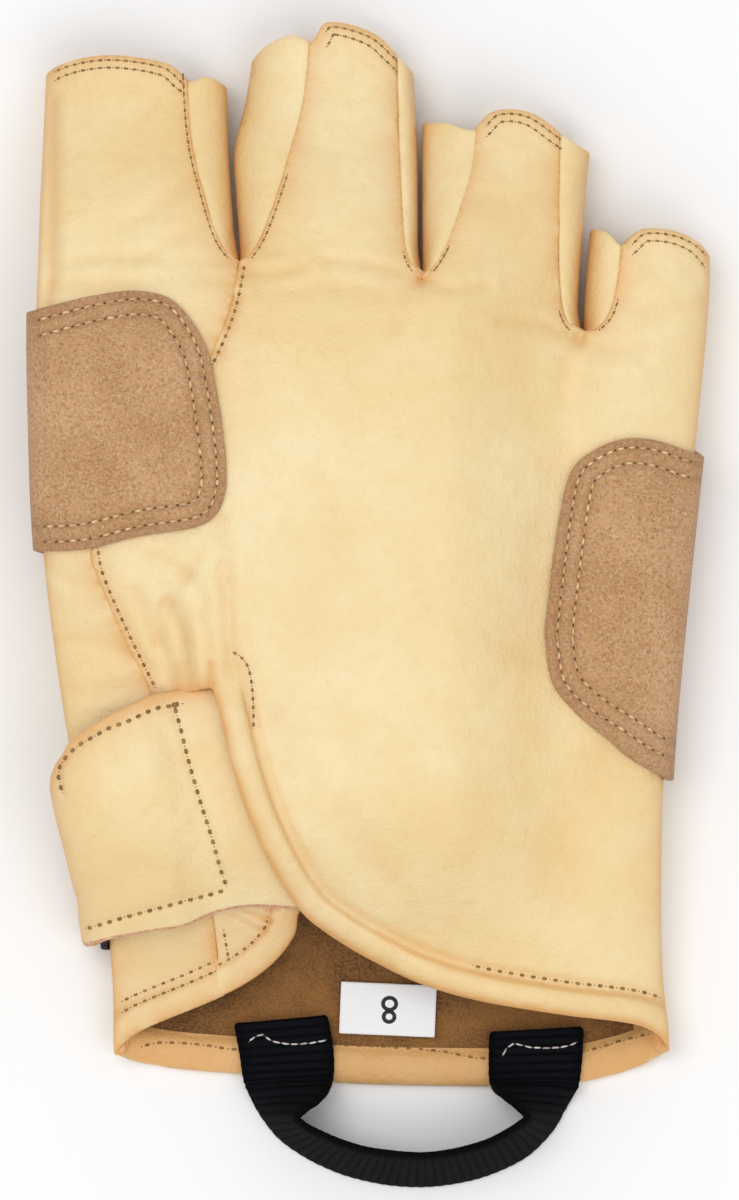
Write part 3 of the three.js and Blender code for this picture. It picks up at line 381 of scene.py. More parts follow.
def smooth_column(keys: Array, values: Array) -> Callable[[Array], Array]:
    """A cubic Hermite curve through a table's column, with centred slopes.

    Args:
        keys: Rising places of the rows.
        values: The column's values there.

    Returns:
        A function from places to values, held constant past both ends.
    """
    before = np.r_[0, np.arange(len(keys) - 1)]
    after = np.r_[np.arange(1, len(keys)), len(keys) - 1]
    slopes = (values[after] - values[before]) / (keys[after] - keys[before])

    def at(place: Array) -> Array:
        """The curve.

        Args:
            place: Where it is wanted.

        Returns:
            Its values there.
        """
        place = np.asarray(place, float)
        row = np.clip(np.searchsorted(keys, place, side="right") - 1, 0, len(keys) - 2)
        step = keys[row + 1] - keys[row]
        t = np.clip((place - keys[row]) / step, 0.0, 1.0)
        return (
            (2 * t**3 - 3 * t**2 + 1) * values[row]
            + (t**3 - 2 * t**2 + t) * step * slopes[row]
            + (3 * t**2 - 2 * t**3) * values[row + 1]
            + (t**3 - t**2) * step * slopes[row + 1]
        )

    return at


def plan_points(rows: Sequence[tuple[float, float]], count: int = 160) -> Array:
    """A uniform Catmull-Rom curve through plan places.

    Args:
        rows: Places as shares of the hand's width and the glove's length.
        count: How many steps the curve is divided into.

    Returns:
        Points of the curve, (count + 1, 2).
    """
    knots = np.array(rows, float) * (HAND_WIDTH, GLOVE_LENGTH)
    last = len(knots) - 1
    place = np.linspace(0.0, last, count + 1)
    row = np.minimum(place.astype(int), last - 1)
    t = (place - row)[:, None]
    p0, p1 = knots[np.maximum(row - 1, 0)], knots[row]
    p2, p3 = knots[row + 1], knots[np.minimum(row + 2, last)]
    v0, v1 = (p2 - p0) / 2, (p3 - p1) / 2
    return (
        (2 * p1 - 2 * p2 + v0 + v1) * t**3
        + (-3 * p1 + 3 * p2 - 2 * v0 - v1) * t**2
        + v0 * t
        + p1
    )


def across_at(points: Array) -> PlanLine:
    """x as a function of y along a plan line that always rises or always falls in y."""
    order = np.argsort(points[:, 1])
    return lambda y: np.interp(y, points[order, 1], points[order, 0])


def along_at(points: Array) -> PlanLine:
    """y as a function of x along a plan line that always rises or always falls in x."""
    order = np.argsort(points[:, 0])
    return lambda x: np.interp(x, points[order, 0], points[order, 1])


def even_steps(points: Array, shares: Array) -> Array:
    """Points of a line at shares of its length.

    Args:
        points: The line, (n, 2) or (n, 3).
        shares: Shares of its length from 0 to 1.

    Returns:
        The points there.
    """
    steps = np.linalg.norm(np.diff(points, axis=0), axis=1)
    length = np.r_[0.0, np.cumsum(steps)]
    return np.stack(
        [np.interp(shares * length[-1], length, points[:, k]) for k in range(points.shape[1])], axis=-1
    )


def distance_to(line: Array, x: Array, y: Array) -> Array:
    """The least plan distance from places to a line of points.

    Args:
        line: The line's points, (n, 2).
        x: The places' x.
        y: The places' y.

    Returns:
        One distance for each place.
    """
    places = np.stack([np.ravel(x), np.ravel(y)], axis=-1).astype(np.float32)
    start, end = line[:-1].astype(np.float32), line[1:].astype(np.float32)
    run = end - start
    span = np.maximum((run**2).sum(-1), 1e-9)
    least = np.full(len(places), 1e9, np.float32)
    for a, r, s in zip(start, run, span):
        t = np.clip(((places - a) @ r) / s, 0.0, 1.0)
        gap = places - a - t[:, None] * r
        least = np.minimum(least, np.hypot(gap[:, 0], gap[:, 1]))
    return least.reshape(np.shape(x)).astype(float)


def soft_noise(x: Array, y: Array, cell: float, seed: int) -> Array:
    """Value noise: random heights from -1 to 1 at the corners of square cells, joined by smooth steps.

    Args:
        x: Places across.
        y: Places along.
        cell: The cells' size.
        seed: Which noise it is.

    Returns:
        Heights at the places.
    """
    corners = np.random.default_rng(seed).uniform(-1, 1, (64, 64))
    u, v = x / cell, y / cell
    i, j = np.floor(u).astype(int), np.floor(v).astype(int)
    s, t = smooth_step(0, 1, u - i), smooth_step(0, 1, v - j)
    low = corners[i % 64, j % 64] * (1 - s) + corners[(i + 1) % 64, j % 64] * s
    high = corners[i % 64, (j + 1) % 64] * (1 - s) + corners[(i + 1) % 64, (j + 1) % 64] * s
    return low * (1 - t) + high * t


def hump(distance: Array, width: float) -> Array:
    """A soft hump, exp(-(d / w)²)."""
    return np.exp(-((distance / width) ** 2))


def bead(distance: Array, width: float, height: float) -> Array:
    """A turned edge's swell, height · sqrt(1 - ((d - m) / (w - m))²), with m its thickest line."""
    middle = THICKEST * width
    return height * np.sqrt(np.clip(1 - ((distance - middle) / (width - middle)) ** 2, 0.0, 1.0))


def groove(distance: Array) -> Array:
    """The groove that a row of stitches presses into the hide."""
    return 0.22 * hump(distance, 0.5)


def settled(relief: Array, rise: Array) -> Array:
    """Relief of the hide, weaker where an edge is turned over."""
    return relief * (1 - 0.7 * np.minimum(rise, 1))


def held(start: tuple[float, float], end: tuple[float, float], y: Array) -> Array:
    """1 along a stretch of the glove, with a smooth step at its start and at its end."""
    along = np.asarray(y) / GLOVE_LENGTH
    return smooth_step(*start, along) * (1 - smooth_step(*end, along))


def hide_waves(x: Array, y: Array, seed: int) -> Array:
    """The soft waves of a hide, three sizes of value noise."""
    relief = 0.26 * soft_noise(x, y, 21.0, seed) + 0.11 * soft_noise(x, y, 8.5, seed + 1)
    return relief + 0.04 * soft_noise(x, y, 3.1, seed + 2)


def crease_relief(x: Array, y: Array, creases: Sequence) -> Array:
    """Grooves of creases, depth · exp(-(d / w)²), with a low swell on both sides.

    Args:
        x: Places across.
        y: Places along.
        creases: Lines with their depths and half widths.

    Returns:
        Heights to add to the skin.
    """
    relief = np.zeros(np.shape(x))
    for line, depth, width in creases:
        gap = distance_to(plan_points(line, 40), x, y)
        swell = 0.35 * hump(gap - 2.1 * width, width)
        relief -= CREASE_DEPTH * depth * (hump(gap, width) - swell)
    return relief


def moved_aside(line: Array, distance: float) -> Array:
    """A plan line moved to the left of its direction.

    Args:
        line: The line's points, (n, 2).
        distance: How far.

    Returns:
        The moved points.
    """
    run = np.gradient(line, axis=0)
    run /= np.maximum(np.linalg.norm(run, axis=1, keepdims=True), 1e-9)
    return line + np.stack([-run[:, 1], run[:, 0]], axis=-1) * distance


def hem_gap(x: Array, y: Array) -> Array:
    """The plan distance to the nearest finger's hem."""
    return np.min([distance_to(plan_points(rows), x, y) for rows in HEMS.values()], axis=0)


def hem_relief(x: Array, y: Array) -> Array:
    """The turned hem of every finger stall: a low step, and a groove along each row of stitches.

    Args:
        x: Places across.
        y: Places along.

    Returns:
        Heights to add to the skin.
    """
    gap = hem_gap(x, y)
    step = 0.3 * (1 - smooth_step(HEM_FOLD_DEPTH - 0.8, HEM_FOLD_DEPTH + 0.6, gap))
    return step - sum(0.16 * hump(gap - row, 0.4) for row in HEM_ROW_GAPS)


def hem_extra(x: Array, y: Array) -> Array:
    """How much thicker a finger stall is where its hem is turned in."""
    return 0.5 * (1 - smooth_step(HEM_FOLD_DEPTH - 0.8, HEM_FOLD_DEPTH + 0.4, hem_gap(x, y)))


class HandForm:
    """The glove's outer skin: superellipse sections across the hand and each finger stall.

    A section's half height over its widest line is (1 - |r|^n)^(1/n), where r is the share of the half
    width and n the squareness. Finger stalls take over from the hand near the crotches.
    """

    def __init__(self) -> None:
        """Makes the curves through the tables."""
        self.hand = self.columns(HAND_ROWS)
        self.fingers = {name: self.columns(rows) for name, rows in FINGER_ROWS.items()}
        self.crotch = smooth_column(CROTCH_LINE[:, 0], CROTCH_LINE[:, 1])
        self.hems = {name: along_at(plan_points(rows)) for name, rows in HEMS.items()}
        self.seam = across_at(plan_points(SIDE_SEAM))
        self.branches = {}
        for name, rows in GUSSET_SEAMS.items():
            curve = plan_points(rows)
            low = int(np.argmin(curve[:, 1]))
            self.branches[name] = (across_at(curve[: low + 1]), across_at(curve[low:]))

    @staticmethod
    def columns(rows: Array) -> list[Callable[[Array], Array]]:
        """Curves through the left, the right and the height of a table's rows."""
        return [smooth_column(rows[:, 0], rows[:, k]) for k in (1, 2, 3)]

    def side_lines(self, y: Array) -> tuple[Array, Array]:
        """The glove's outer left and right, where the hand's sides run on into the end fingers'.

        Args:
            y: Places along.

        Returns:
            x of the left and of the right.
        """
        along = np.asarray(y) / GLOVE_LENGTH
        into_index, into_little = smooth_step(*INTO_INDEX, along), smooth_step(*INTO_LITTLE, along)
        left = self.hand[0](along) * (1 - into_index) + self.fingers["index"][0](along) * into_index
        right = self.hand[1](along) * (1 - into_little) + self.fingers["little"][1](along) * into_little
        return left * HAND_WIDTH, right * HAND_WIDTH

    def left_side(self, y: Array) -> Array:
        """x of the glove's outer left."""
        return self.side_lines(y)[0]

    def right_side(self, y: Array) -> Array:
        """x of the glove's outer right."""
        return self.side_lines(y)[1]

    @staticmethod
    def lift(x: Array, y: Array) -> Array:
        """How high the thumb, folded under the index side, carries the leather."""
        side = 1 - smooth_step(*THUMB_SIDE, np.asarray(x) / HAND_WIDTH)
        return THUMB_REST * side * held(THUMB_RISE, THUMB_FALL, y)

    @staticmethod
    def rest_height(y: Array) -> Array:
        """How high the guard carries the palm."""
        return GUARD_REST * held(GUARD_RISE, GUARD_FALL, y)

    @staticmethod
    def sink(x: Array, y: Array, underlap: bool) -> Array:
        """How far the back is sunk at the wrist slit, so that the strap passes between its flaps."""
        side = 1.0 if underlap else 1 - smooth_step(*SLIT_SIDE, np.asarray(x) / HAND_WIDTH)
        return SLIT_SINK * (1 - smooth_step(*SLIT_END, np.asarray(y) / GLOVE_LENGTH)) * side

    def skin(
        self,
        x: Array,
        y: Array,
        finger: str,
        side: Side,
        offset: float = 0.0,
        underlap: bool = False,
    ) -> Array:
        """The skin's height over a plan place.

        The hand's section and the finger's are mixed by a smooth step that starts a little below the
        crotch line and ends above it.

        Args:
            x: Across.
            y: Along.
            finger: The finger stall that the place belongs to.
            side: The back or the palm.
            offset: How far the section is grown.
            underlap: Whether it is the lower flap of the wrist slit.

        Returns:
            Heights in millimetres.
        """
        along = y / GLOVE_LENGTH
        outer_left, outer_right = self.side_lines(y)
        left, right, height = (column(along) for column in self.fingers[finger])
        left = outer_left if finger == "index" else left * HAND_WIDTH
        right = outer_right if finger == "little" else right * HAND_WIDTH
        crotch = self.crotch(x / HAND_WIDTH)
        mix = smooth_step(0.0, 1.0, (along - crotch + 0.03) / 0.1)
        base = self.rest_height(y) + self.lift(x, y)
        sunk = self.sink(x, y, underlap)
        result = 0.0
        for share, low, high, tall, squareness in (
            (1 - mix, outer_left, outer_right, self.hand[2](along) * HAND_HEIGHT, HAND_SQUARENESS),
            (mix, left, right, height * FINGER_HEIGHT, FINGER_SQUARENESS),
        ):
            half = (high - low) / 2 + offset
            reach = np.clip(np.abs(x - (low + high) / 2) / half, 0.0, 1.0)
            rise = (1 - reach**squareness) ** (1 / squareness)
            if side is Side.BACK:
                swell = (tall * (1 - MID_SHARE) - sunk + offset) * rise
            else:
                swell = -(tall * MID_SHARE + offset) * np.minimum(1.0, UNDERSIDE_FLATNESS * rise)
            result = result + share * (base + tall * MID_SHARE + swell)
        return result

    def around(self, y: Array, turn: Array, underlap: bool, offset: float = 0.0) -> Array:
        """Points of the hand's section at a turn from the +X side over the back.

        Args:
            y: Along.
            turn: The turn in degrees, past 180 down the index side.
            underlap: Whether the section is the sunk one of the lower flap.
            offset: How far the section is grown.

        Returns:
            Points with a last axis of x, y, z.
        """
        along = y / GLOVE_LENGTH
        left, right = self.hand[0](along) * HAND_WIDTH, self.hand[1](along) * HAND_WIDTH
        tall = self.hand[2](along) * HAND_HEIGHT
        angle = np.radians(turn)
        power = 2 / HAND_SQUARENESS
        reach = np.sign(np.cos(angle)) * np.abs(np.cos(angle)) ** power
        rise = np.abs(np.sin(angle)) ** power
        x = (left + right) / 2 + ((right - left) / 2 + offset) * reach
        above = (tall * (1 - MID_SHARE) - self.sink(x, y, underlap) + offset) * rise
        below = -(tall * MID_SHARE + offset) * np.minimum(1.0, UNDERSIDE_FLATNESS * rise)
        middle = self.rest_height(y) + tall * MID_SHARE + self.lift(x, y)
        return np.stack([x, y, middle + np.where(np.sin(angle) >= 0, above, below)], axis=-1)


FORM = HandForm()


@dataclass
class Sheet:
    """An open surface of quads.

    Attributes:
        points: Vertices, (n, 3).
        quads: Faces, (m, 4).
    """

    points: Array
    quads: Array

    def flipped(self) -> "Sheet":
        """The same surface facing the other way."""
        return Sheet(self.points, self.quads[:, ::-1])

    def facing_up(self, rows: Optional[int] = None) -> "Sheet":
        """The same surface, turned to face up at its first vertices or on the whole."""
        return self.flipped() if self.normals()[:rows, 2].mean() < 0 else self

    def normals(self) -> Array:
        """Vertex normals, each the mean of its faces' normals by their areas.

        Returns:
            Unit vectors, (n, 3).
        """
        a, b, c, d = (self.points[self.quads[:, k]] for k in range(4))
        face = np.cross(c - a, d - b)
        total = np.zeros_like(self.points)
        for k in range(4):
            np.add.at(total, self.quads[:, k], face)
        return total / np.maximum(np.linalg.norm(total, axis=1, keepdims=True), 1e-12)

    def rim_edges(self) -> Array:
        """Edges that one face uses.

        Returns:
            Their vertices in that face's direction, (k, 2).
        """
        edges = np.concatenate([self.quads[:, [k, (k + 1) % 4]] for k in range(4)])
        edges = edges[edges[:, 0] != edges[:, 1]]
        low, high = edges.min(1).astype(np.int64), edges.max(1).astype(np.int64)
        keys = low * len(self.points) + high
        _, inverse, counts = np.unique(keys, return_inverse=True, return_counts=True)
        return edges[counts[inverse.ravel()] == 1]

    def rim_gap(self) -> Array:
        """Distances to the sheet's edge, in blocks of vertices to save memory.

        Returns:
            Each vertex's distance to the nearest vertex of the edge.
        """
        block_size = 4000
        rim = self.points[np.unique(self.rim_edges())[::2]].astype(np.float32)
        least = np.empty(len(self.points))
        for start in range(0, len(self.points), block_size):
            block = self.points[start : start + block_size].astype(np.float32)
            square = (block**2).sum(1)[:, None] + (rim**2).sum(1)[None] - 2 * block @ rim.T
            least[start : start + block_size] = np.sqrt(np.maximum(square.min(1), 0))
        return least

    def shade_and_wear(self) -> Array:
        """How much the hide is tinted darker: near edges, partly as wear and partly as painted shade, and
        where it turns over a side, as painted shade.

        Returns:
            A value from 0 to 1 for each vertex.
        """
        gap = self.rim_gap()
        steep = (1 - np.abs(self.normals()[:, 2])) ** 1.4
        # Painted shade: the steep term darkens the hide down its sides, where less light falls; the edge
        # terms are partly wear and partly painted shade.
        return np.clip(0.55 * np.exp(-gap / 1.2) + 0.35 * np.exp(-gap / 5.0) + 0.9 * steep, 0, 1)

    def height_under(self, x: Array, y: Array, up: bool = True) -> Array:
        """Heights over plan places, on the tangent plane of the nearest vertex that faces up or down.

        Args:
            x: Places across.
            y: Places along.
            up: Whether the side that faces up is meant.

        Returns:
            Heights in millimetres.
        """
        normals = self.normals()
        facing = normals[:, 2] > 0.15 if up else normals[:, 2] < -0.15
        points, normals = self.points[facing], normals[facing]
        square = (x[:, None] - points[None, :, 0]) ** 2 + (y[:, None] - points[None, :, 1]) ** 2
        near = square.argmin(1)
        normal, point = normals[near], points[near]
        slope = (normal[:, 0] * (x - point[:, 0]) + normal[:, 1] * (y - point[:, 1])) / normal[:, 2]
        return point[:, 2] - slope


def grid_sheet(points: Array) -> Sheet:
    """A sheet from a grid of points.

    Args:
        points: The grid, (rows, columns, 3).

    Returns:
        The sheet, facing up where x and y both rise.
    """
    rows, columns = points.shape[:2]
    index = np.arange(rows * columns).reshape(rows, columns)
    quads = np.stack([index[:-1, :-1], index[:-1, 1:], index[1:, 1:], index[1:, :-1]], axis=-1)
    return Sheet(points.reshape(-1, 3), quads.reshape(-1, 4))


def joined(sheets: Sequence[Sheet], by_plan: bool = True) -> Sheet:
    """Sheets as one, with their vertices at the same place made one.

    Args:
        sheets: The sheets.
        by_plan: Whether only x and y have to agree; the heights are then averaged.

    Returns:
        The joined sheet, without faces that lost their area.
    """
    starts = np.cumsum([0] + [len(s.points) for s in sheets[:-1]])
    points = np.concatenate([s.points for s in sheets])
    quads = np.concatenate([s.quads + n for s, n in zip(sheets, starts)])
    keys = np.round(points[:, :2] if by_plan else points, 3)
    _, inverse, counts = np.unique(keys, axis=0, return_inverse=True, return_counts=True)
    inverse = inverse.ravel()
    merged = np.zeros((len(counts), 3))
    np.add.at(merged, inverse, points)
    merged /= counts[:, None]
    quads = inverse[quads]
    ordered = np.sort(quads, axis=1)
    distinct = (np.diff(ordered, axis=1) > 0).sum(1)
    return Sheet(merged, quads[distinct >= 2])


@dataclass
class Solid:
    """A closed piece of sheet goods.

    Attributes:
        points: Vertices, (n, 3).
        quads: Faces, (m, 4); a face may repeat a vertex and is then a triangle.
        part: For each face 0 on the outer side, 1 on the rim and 2 on the inner side.
        source: For each vertex, the sheet's vertex that it stands over.
    """

    points: Array
    quads: Array
    part: Optional[Array] = None
    source: Optional[Array] = None


def thickened(sheet: Sheet, thickness: Array | float, roundness: float = 0.45, steps: int = 4) -> Solid:
    """Closes a sheet to a solid with a rounded rim.

    The inner side is the sheet moved against its normals by the thickness. Round the rim a half ellipse
    joins the two: out in the sheet's plane by roundness · sin(a), and down by thickness · (1 - cos(a)) / 2.

    Args:
        sheet: The outer side.
        thickness: In millimetres, one value or one for each vertex.
        roundness: How far the rim stands out past the sheet's edge.
        steps: Facets round the rim.

    Returns:
        The solid.
    """
    count = len(sheet.points)
    normals = sheet.normals()
    thick = np.broadcast_to(np.asarray(thickness, float), (count,))
    inner = sheet.points - normals * thick[:, None]
    rim = sheet.rim_edges()
    run = sheet.points[rim[:, 1]] - sheet.points[rim[:, 0]]
    tangent = np.zeros_like(sheet.points)
    np.add.at(tangent, rim[:, 0], run)
    np.add.at(tangent, rim[:, 1], run)
    outward = np.cross(tangent, normals)
    outward /= np.maximum(np.linalg.norm(outward, axis=1, keepdims=True), 1e-12)
    used = np.unique(rim)
    place = np.full(count, -1)
    place[used] = np.arange(len(used))
    points, sources = [sheet.points, inner], [np.arange(count), np.arange(count)]
    rings = [rim]
    for k in range(1, steps):
        angle = np.pi * k / steps
        ring = (
            sheet.points[used]
            + outward[used] * roundness * np.sin(angle)
            - normals[used] * (thick[used] * (1 - np.cos(angle)) / 2)[:, None]
        )
        rings.append(place[rim] + 2 * count + (k - 1) * len(used))
        points.append(ring)
        sources.append(used)
    rings.append(rim + count)
    walls = [
        np.stack([a[:, 1], a[:, 0], b[:, 0], b[:, 1]], axis=-1) for a, b in zip(rings[:-1], rings[1:])
    ]
    quads = np.concatenate([sheet.quads, sheet.quads[:, ::-1] + count] + walls)
    part = np.r_[
        np.zeros(len(sheet.quads), int), np.full(len(sheet.quads), 2), np.ones(sum(map(len, walls)), int)
    ]
    return Solid(np.concatenate(points), quads, part, np.concatenate(sources))


def material_of(name: str) -> Material:
    """A new material with nodes and only its output and shader.

    Args:
        name: Its name.

    Returns:
        The material.
    """
    material = bpy.data.materials.new(name)
    material.use_nodes = True
    return material


def link(name: str, data: bpy.types.ID) -> bpy.types.Object:
    """A new object of the scene.

    Args:
        name: Its name.
        data: Its mesh, light or camera.

    Returns:
        The object.
    """
    thing = bpy.data.objects.new(name, data)
    bpy.context.scene.collection.objects.link(thing)
    return thing


def piece(
    name: str,
    solid: Solid,
    materials: Sequence[Material],
    replaced: Sequence[str] = (),
    attributes: Optional[dict[str, Array]] = None,
    material_index: Optional[Array] = None,
) -> None:
    """Makes an object of a solid, on the root body, in place of its CAD nodes.

    Args:
        name: The object's name.
        solid: Its shape in the part's millimetres.
        materials: Its materials.
        replaced: CAD nodes that it stands for.
        attributes: Values for each vertex, by name.
        material_index: For each face, which material; the outer side's by default.
    """
    quads = solid.quads
    corners = quads != np.roll(quads, -1, axis=1)
    loops, sizes = quads[corners], corners.sum(1)
    mesh = bpy.data.meshes.new(name)
    mesh.vertices.add(len(solid.points))
    placed = solid.points + SHIFT
    placed[:, 2] = np.maximum(placed[:, 2], FLOOR_TOUCH)
    mesh.vertices.foreach_set("co", (placed * MM).astype(np.float32).ravel())
    mesh.loops.add(len(loops))
    mesh.loops.foreach_set("vertex_index", loops.astype(np.int32))
    mesh.polygons.add(len(quads))
    starts = np.r_[0, np.cumsum(sizes)[:-1]]
    mesh.polygons.foreach_set("loop_start", starts.astype(np.int32))
    for material in materials:
        mesh.materials.append(material)
    if material_index is not None:
        mesh.polygons.foreach_set("material_index", material_index.astype(np.int32))
    mesh.polygons.foreach_set("use_smooth", np.ones(len(quads), bool))
    mesh.update(calc_edges=True)
    mesh.validate()
    for key, values in (attributes or {}).items():
        layer = mesh.attributes.new(key, "FLOAT", "POINT")
        layer.data.foreach_set("value", np.asarray(values, np.float32))
    thing = link(name, mesh)
    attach(thing, "root")
    if replaced:
        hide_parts(*replaced)
    log.info("%s: %d faces", name, len(quads))


Spindle = tuple[float, float, float, float]  # length, radius, rise and dip, as StitchRow.spindles says
# Dark discs of painted shade in the needle's holes: on leather and on suede.
NEEDLE_HOLE_SHADE: Spindle = (0.34, 0.15, -0.55, 0.0)
SUEDE_HOLE_SHADE: Spindle = (0.6, 0.24, -0.45, 0.0)
RINGS, SPOKES = 7, 6  # points along and round a spindle


@dataclass(frozen=True)
class StitchRow:
    """A row of lockstitches.

    Attributes:
        line: Its plan line, (n, 2).
        on: The sheet that it is sewn on.
        stitch: Its kind of stitch.
        up: Whether it lies on the side of the sheet that faces up.
    """

    line: Array
    on: Sheet
    stitch: Stitch
    up: bool = True

    def count(self) -> int:
        """How many stitches fit."""
        total = np.linalg.norm(np.diff(self.line, axis=0), axis=1).sum()
        return max(1, int(round(total / self.stitch.value[0])))

    def frames(self, shares: Array, yaw: Array) -> tuple[Array, Array, Array, Array]:
        """Where stitches lie on the sheet.

        Args:
            shares: Their middles' shares of the line.
            yaw: How far each is turned from the line, in radians.

        Returns:
            Middles, and unit vectors along, across and out of the sheet.
        """
        nudge, reach, steepest = 0.002, 0.4, 1.5
        place = even_steps(self.line, shares)
        run = even_steps(self.line, shares + nudge) - even_steps(self.line, shares - nudge)
        run /= np.linalg.norm(run, axis=1, keepdims=True)
        run = np.stack([run[:, 0] - run[:, 1] * yaw, run[:, 1] + run[:, 0] * yaw], axis=-1)
        side = np.stack([-run[:, 1], run[:, 0]], axis=-1)
        steps = (0 * run, run, -run, side, -side)
        spots = np.concatenate([place + step * reach for step in steps])
        heights = self.on.height_under(spots[:, 0], spots[:, 1], self.up).reshape(5, -1)
        slopes = np.clip((heights[1::2] - heights[2::2]) / (2 * reach), -steepest, steepest)
        tangent = np.concatenate([run, slopes[0][:, None]], axis=1)
        across = np.concatenate([side, slopes[1][:, None]], axis=1)
        tangent /= np.linalg.norm(tangent, axis=1, keepdims=True)
        normal = np.cross(tangent, across)
        normal /= np.linalg.norm(normal, axis=1, keepdims=True) * (1 if self.up else -1)
        middle = np.concatenate([place, heights[0][:, None]], axis=1)
        return middle, tangent, np.cross(normal, tangent), normal

    def spindles(self, shares: Array, yaw: Array, shape: Spindle) -> Array:
        """Spindles on the sheet.

        Along a spindle a runs from -1 to 1: its radius is r · (1 - |a|³)^½, and its middle line stands
        r · (rise - dip · a²) over the sheet.

        Args:
            shares: Their middles' shares of the line.
            yaw: How far each is turned from the line, in radians.
            shape: Length, radius r, rise and dip.

        Returns:
            Points, (stitches, rings, spokes, 3).
        """
        length, radius, rise, dip = shape
        middle, tangent, across, normal = (v[:, None, None] for v in self.frames(shares, yaw))
        a = np.linspace(-1, 1, RINGS)[None, :, None, None]
        turn = (np.arange(SPOKES) / SPOKES * 2 * np.pi)[None, None, :, None]
        thick = radius * np.sqrt(1.02 - np.abs(a) ** 3)
        out = np.sin(turn) * thick + radius * (rise - dip * a**2)
        return middle + tangent * a * length / 2 + across * np.cos(turn) * thick + normal * out

    def threads(self, seed: int) -> Array:
        """The thread of every stitch, diving into its holes.

        Args:
            seed: Which small turns the stitches have.

        Returns:
            Points of spindles.
        """
        count = self.count()
        yaw = np.random.default_rng(seed).normal(0, 0.06, count)
        _, length, radius = self.stitch.value
        return self.spindles((np.arange(count) + 0.5) / count, yaw, (length, radius, 0.75, 2.0))

    def holes(self) -> Array:
        """Painted shade in the needle's holes between stitches: dark lens shapes nearly level with the
        sheet.

        Returns:
            Points of spindles.
        """
        shares = np.linspace(0.001, 0.999, self.count() + 1)
        shape = SUEDE_HOLE_SHADE if self.stitch is Stitch.GUARD else NEEDLE_HOLE_SHADE
        return self.spindles(shares, np.zeros(len(shares)), shape)


@dataclass
class SubAssembly:
    """A sewn part of the glove.

    Attributes:
        finishes: The glove's materials.
    """

    finishes: "Finishes"

    def leather(
        self,
        node: str,
        sheet: Sheet,
        solid: Solid,
        turned: Optional[Array] = None,
        shaded_worn: Array | float = 0.0,
    ) -> None:
        """Makes a panel of grain leather, flesh side in.

        Args:
            node: The CAD node that it stands for.
            sheet: Its outer side.
            solid: Its solid.
            turned: For each vertex of the sheet, whether the hide is turned over there, grain side in.
            shaded_worn: For each vertex, how much darker it is painted than its edges and slope make it:
                painted shade beside turned edges, in creases and under the strap.
        """
        # Painted shade and wear from the edges and slope, with the painted shade passed in added.
        shade_and_wear = (sheet.shade_and_wear() + shaded_worn)[solid.source]
        inside = solid.part == 2
        if turned is not None:
            folded = turned[solid.source]
            inner = np.zeros(len(solid.points), bool)
            inner[solid.quads[inside].ravel()] = True
            shade_and_wear = np.where(inner & folded, TURNED_TONE, shade_and_wear)
            inside = inside & ~folded[solid.quads].all(1)
        materials = [self.finishes.grain, self.finishes.flesh]
        marks = {"shade_and_wear": shade_and_wear}
        piece(f"{node}_leather", solid, materials, [node], marks, inside.astype(int))

    def sew(
        self,
        name: str,
        rows: Sequence[StitchRow],
        slot: str = "grain_leather",
        thread: Optional[Material] = None,
    ) -> None:
        """Makes the threads of several rows of stitches, and dark discs of painted shade at their holes,
        each as one object.

        Args:
            name: The threads' name.
            rows: The rows.
            slot: A material slot's name; not used.
            thread: The thread's material, the brown one by default.
        """
        ring, spoke = np.arange(RINGS - 1)[:, None], np.arange(SPOKES)[None, :]
        first, second = ring * SPOKES + spoke, ring * SPOKES + (spoke + 1) % SPOKES
        body = np.stack([first + SPOKES, second + SPOKES, second, first], axis=-1).reshape(-1, 4)
        end = (RINGS - 1) * SPOKES
        caps = [(0, 1, 2, 3), (0, 3, 4, 5)]
        caps += [(end + 3, end + 2, end + 1, end), (end + 5, end + 4, end + 3, end)]
        template = np.concatenate([body, np.array(caps)])
        threads = np.concatenate([row.threads(seed) for seed, row in enumerate(rows)])
        holes = np.concatenate([row.holes() for row in rows])
        # The holes' discs take the dark material of painted shade.
        brown, dark = thread or self.finishes.thread, self.finishes.hole_shade
        for kind, points, material in (("", threads, brown), ("_holes", holes, dark)):
            starts = np.arange(len(points))[:, None, None] * RINGS * SPOKES
            quads = (starts + template[None]).reshape(-1, 4)
            piece(name + kind, Solid(points.reshape(-1, 3), quads), [material])


@dataclass(frozen=True)
class Lane:
    """A strip of a panel that runs into one finger stall.

    Attributes:
        finger: The finger's name.
        left: x of its left edge at y.
        right: x of its right edge at y.
        columns: How many faces it is wide.
        shares: Where its columns lie between its edges, from 0 to 1.
    """

    finger: str
    left: PlanLine
    right: PlanLine
    columns: int
    shares: Array


def lane_edge(gusset: str, branch: int) -> PlanLine:
    """A lane's edge beside a gusset: straight below the crotch, then along the gusset's seam.

    Args:
        gusset: The gusset's name.
        branch: 0 for its left seam, 1 for its right one.

    Returns:
        x as a function of y.
    """
    crotch_x, crotch_y = CROTCHES[gusset][0] * HAND_WIDTH, CROTCHES[gusset][1] * GLOVE_LENGTH
    line = FORM.branches[gusset][branch]
    way = 1 if branch else -1

    def at(y: Array) -> Array:
        """The edge's x."""
        inset = SEAM_INSET * way * smooth_step(0.0, 2.0, y - crotch_y)
        return np.where(y <= crotch_y, crotch_x, line(y) + inset)

    return at


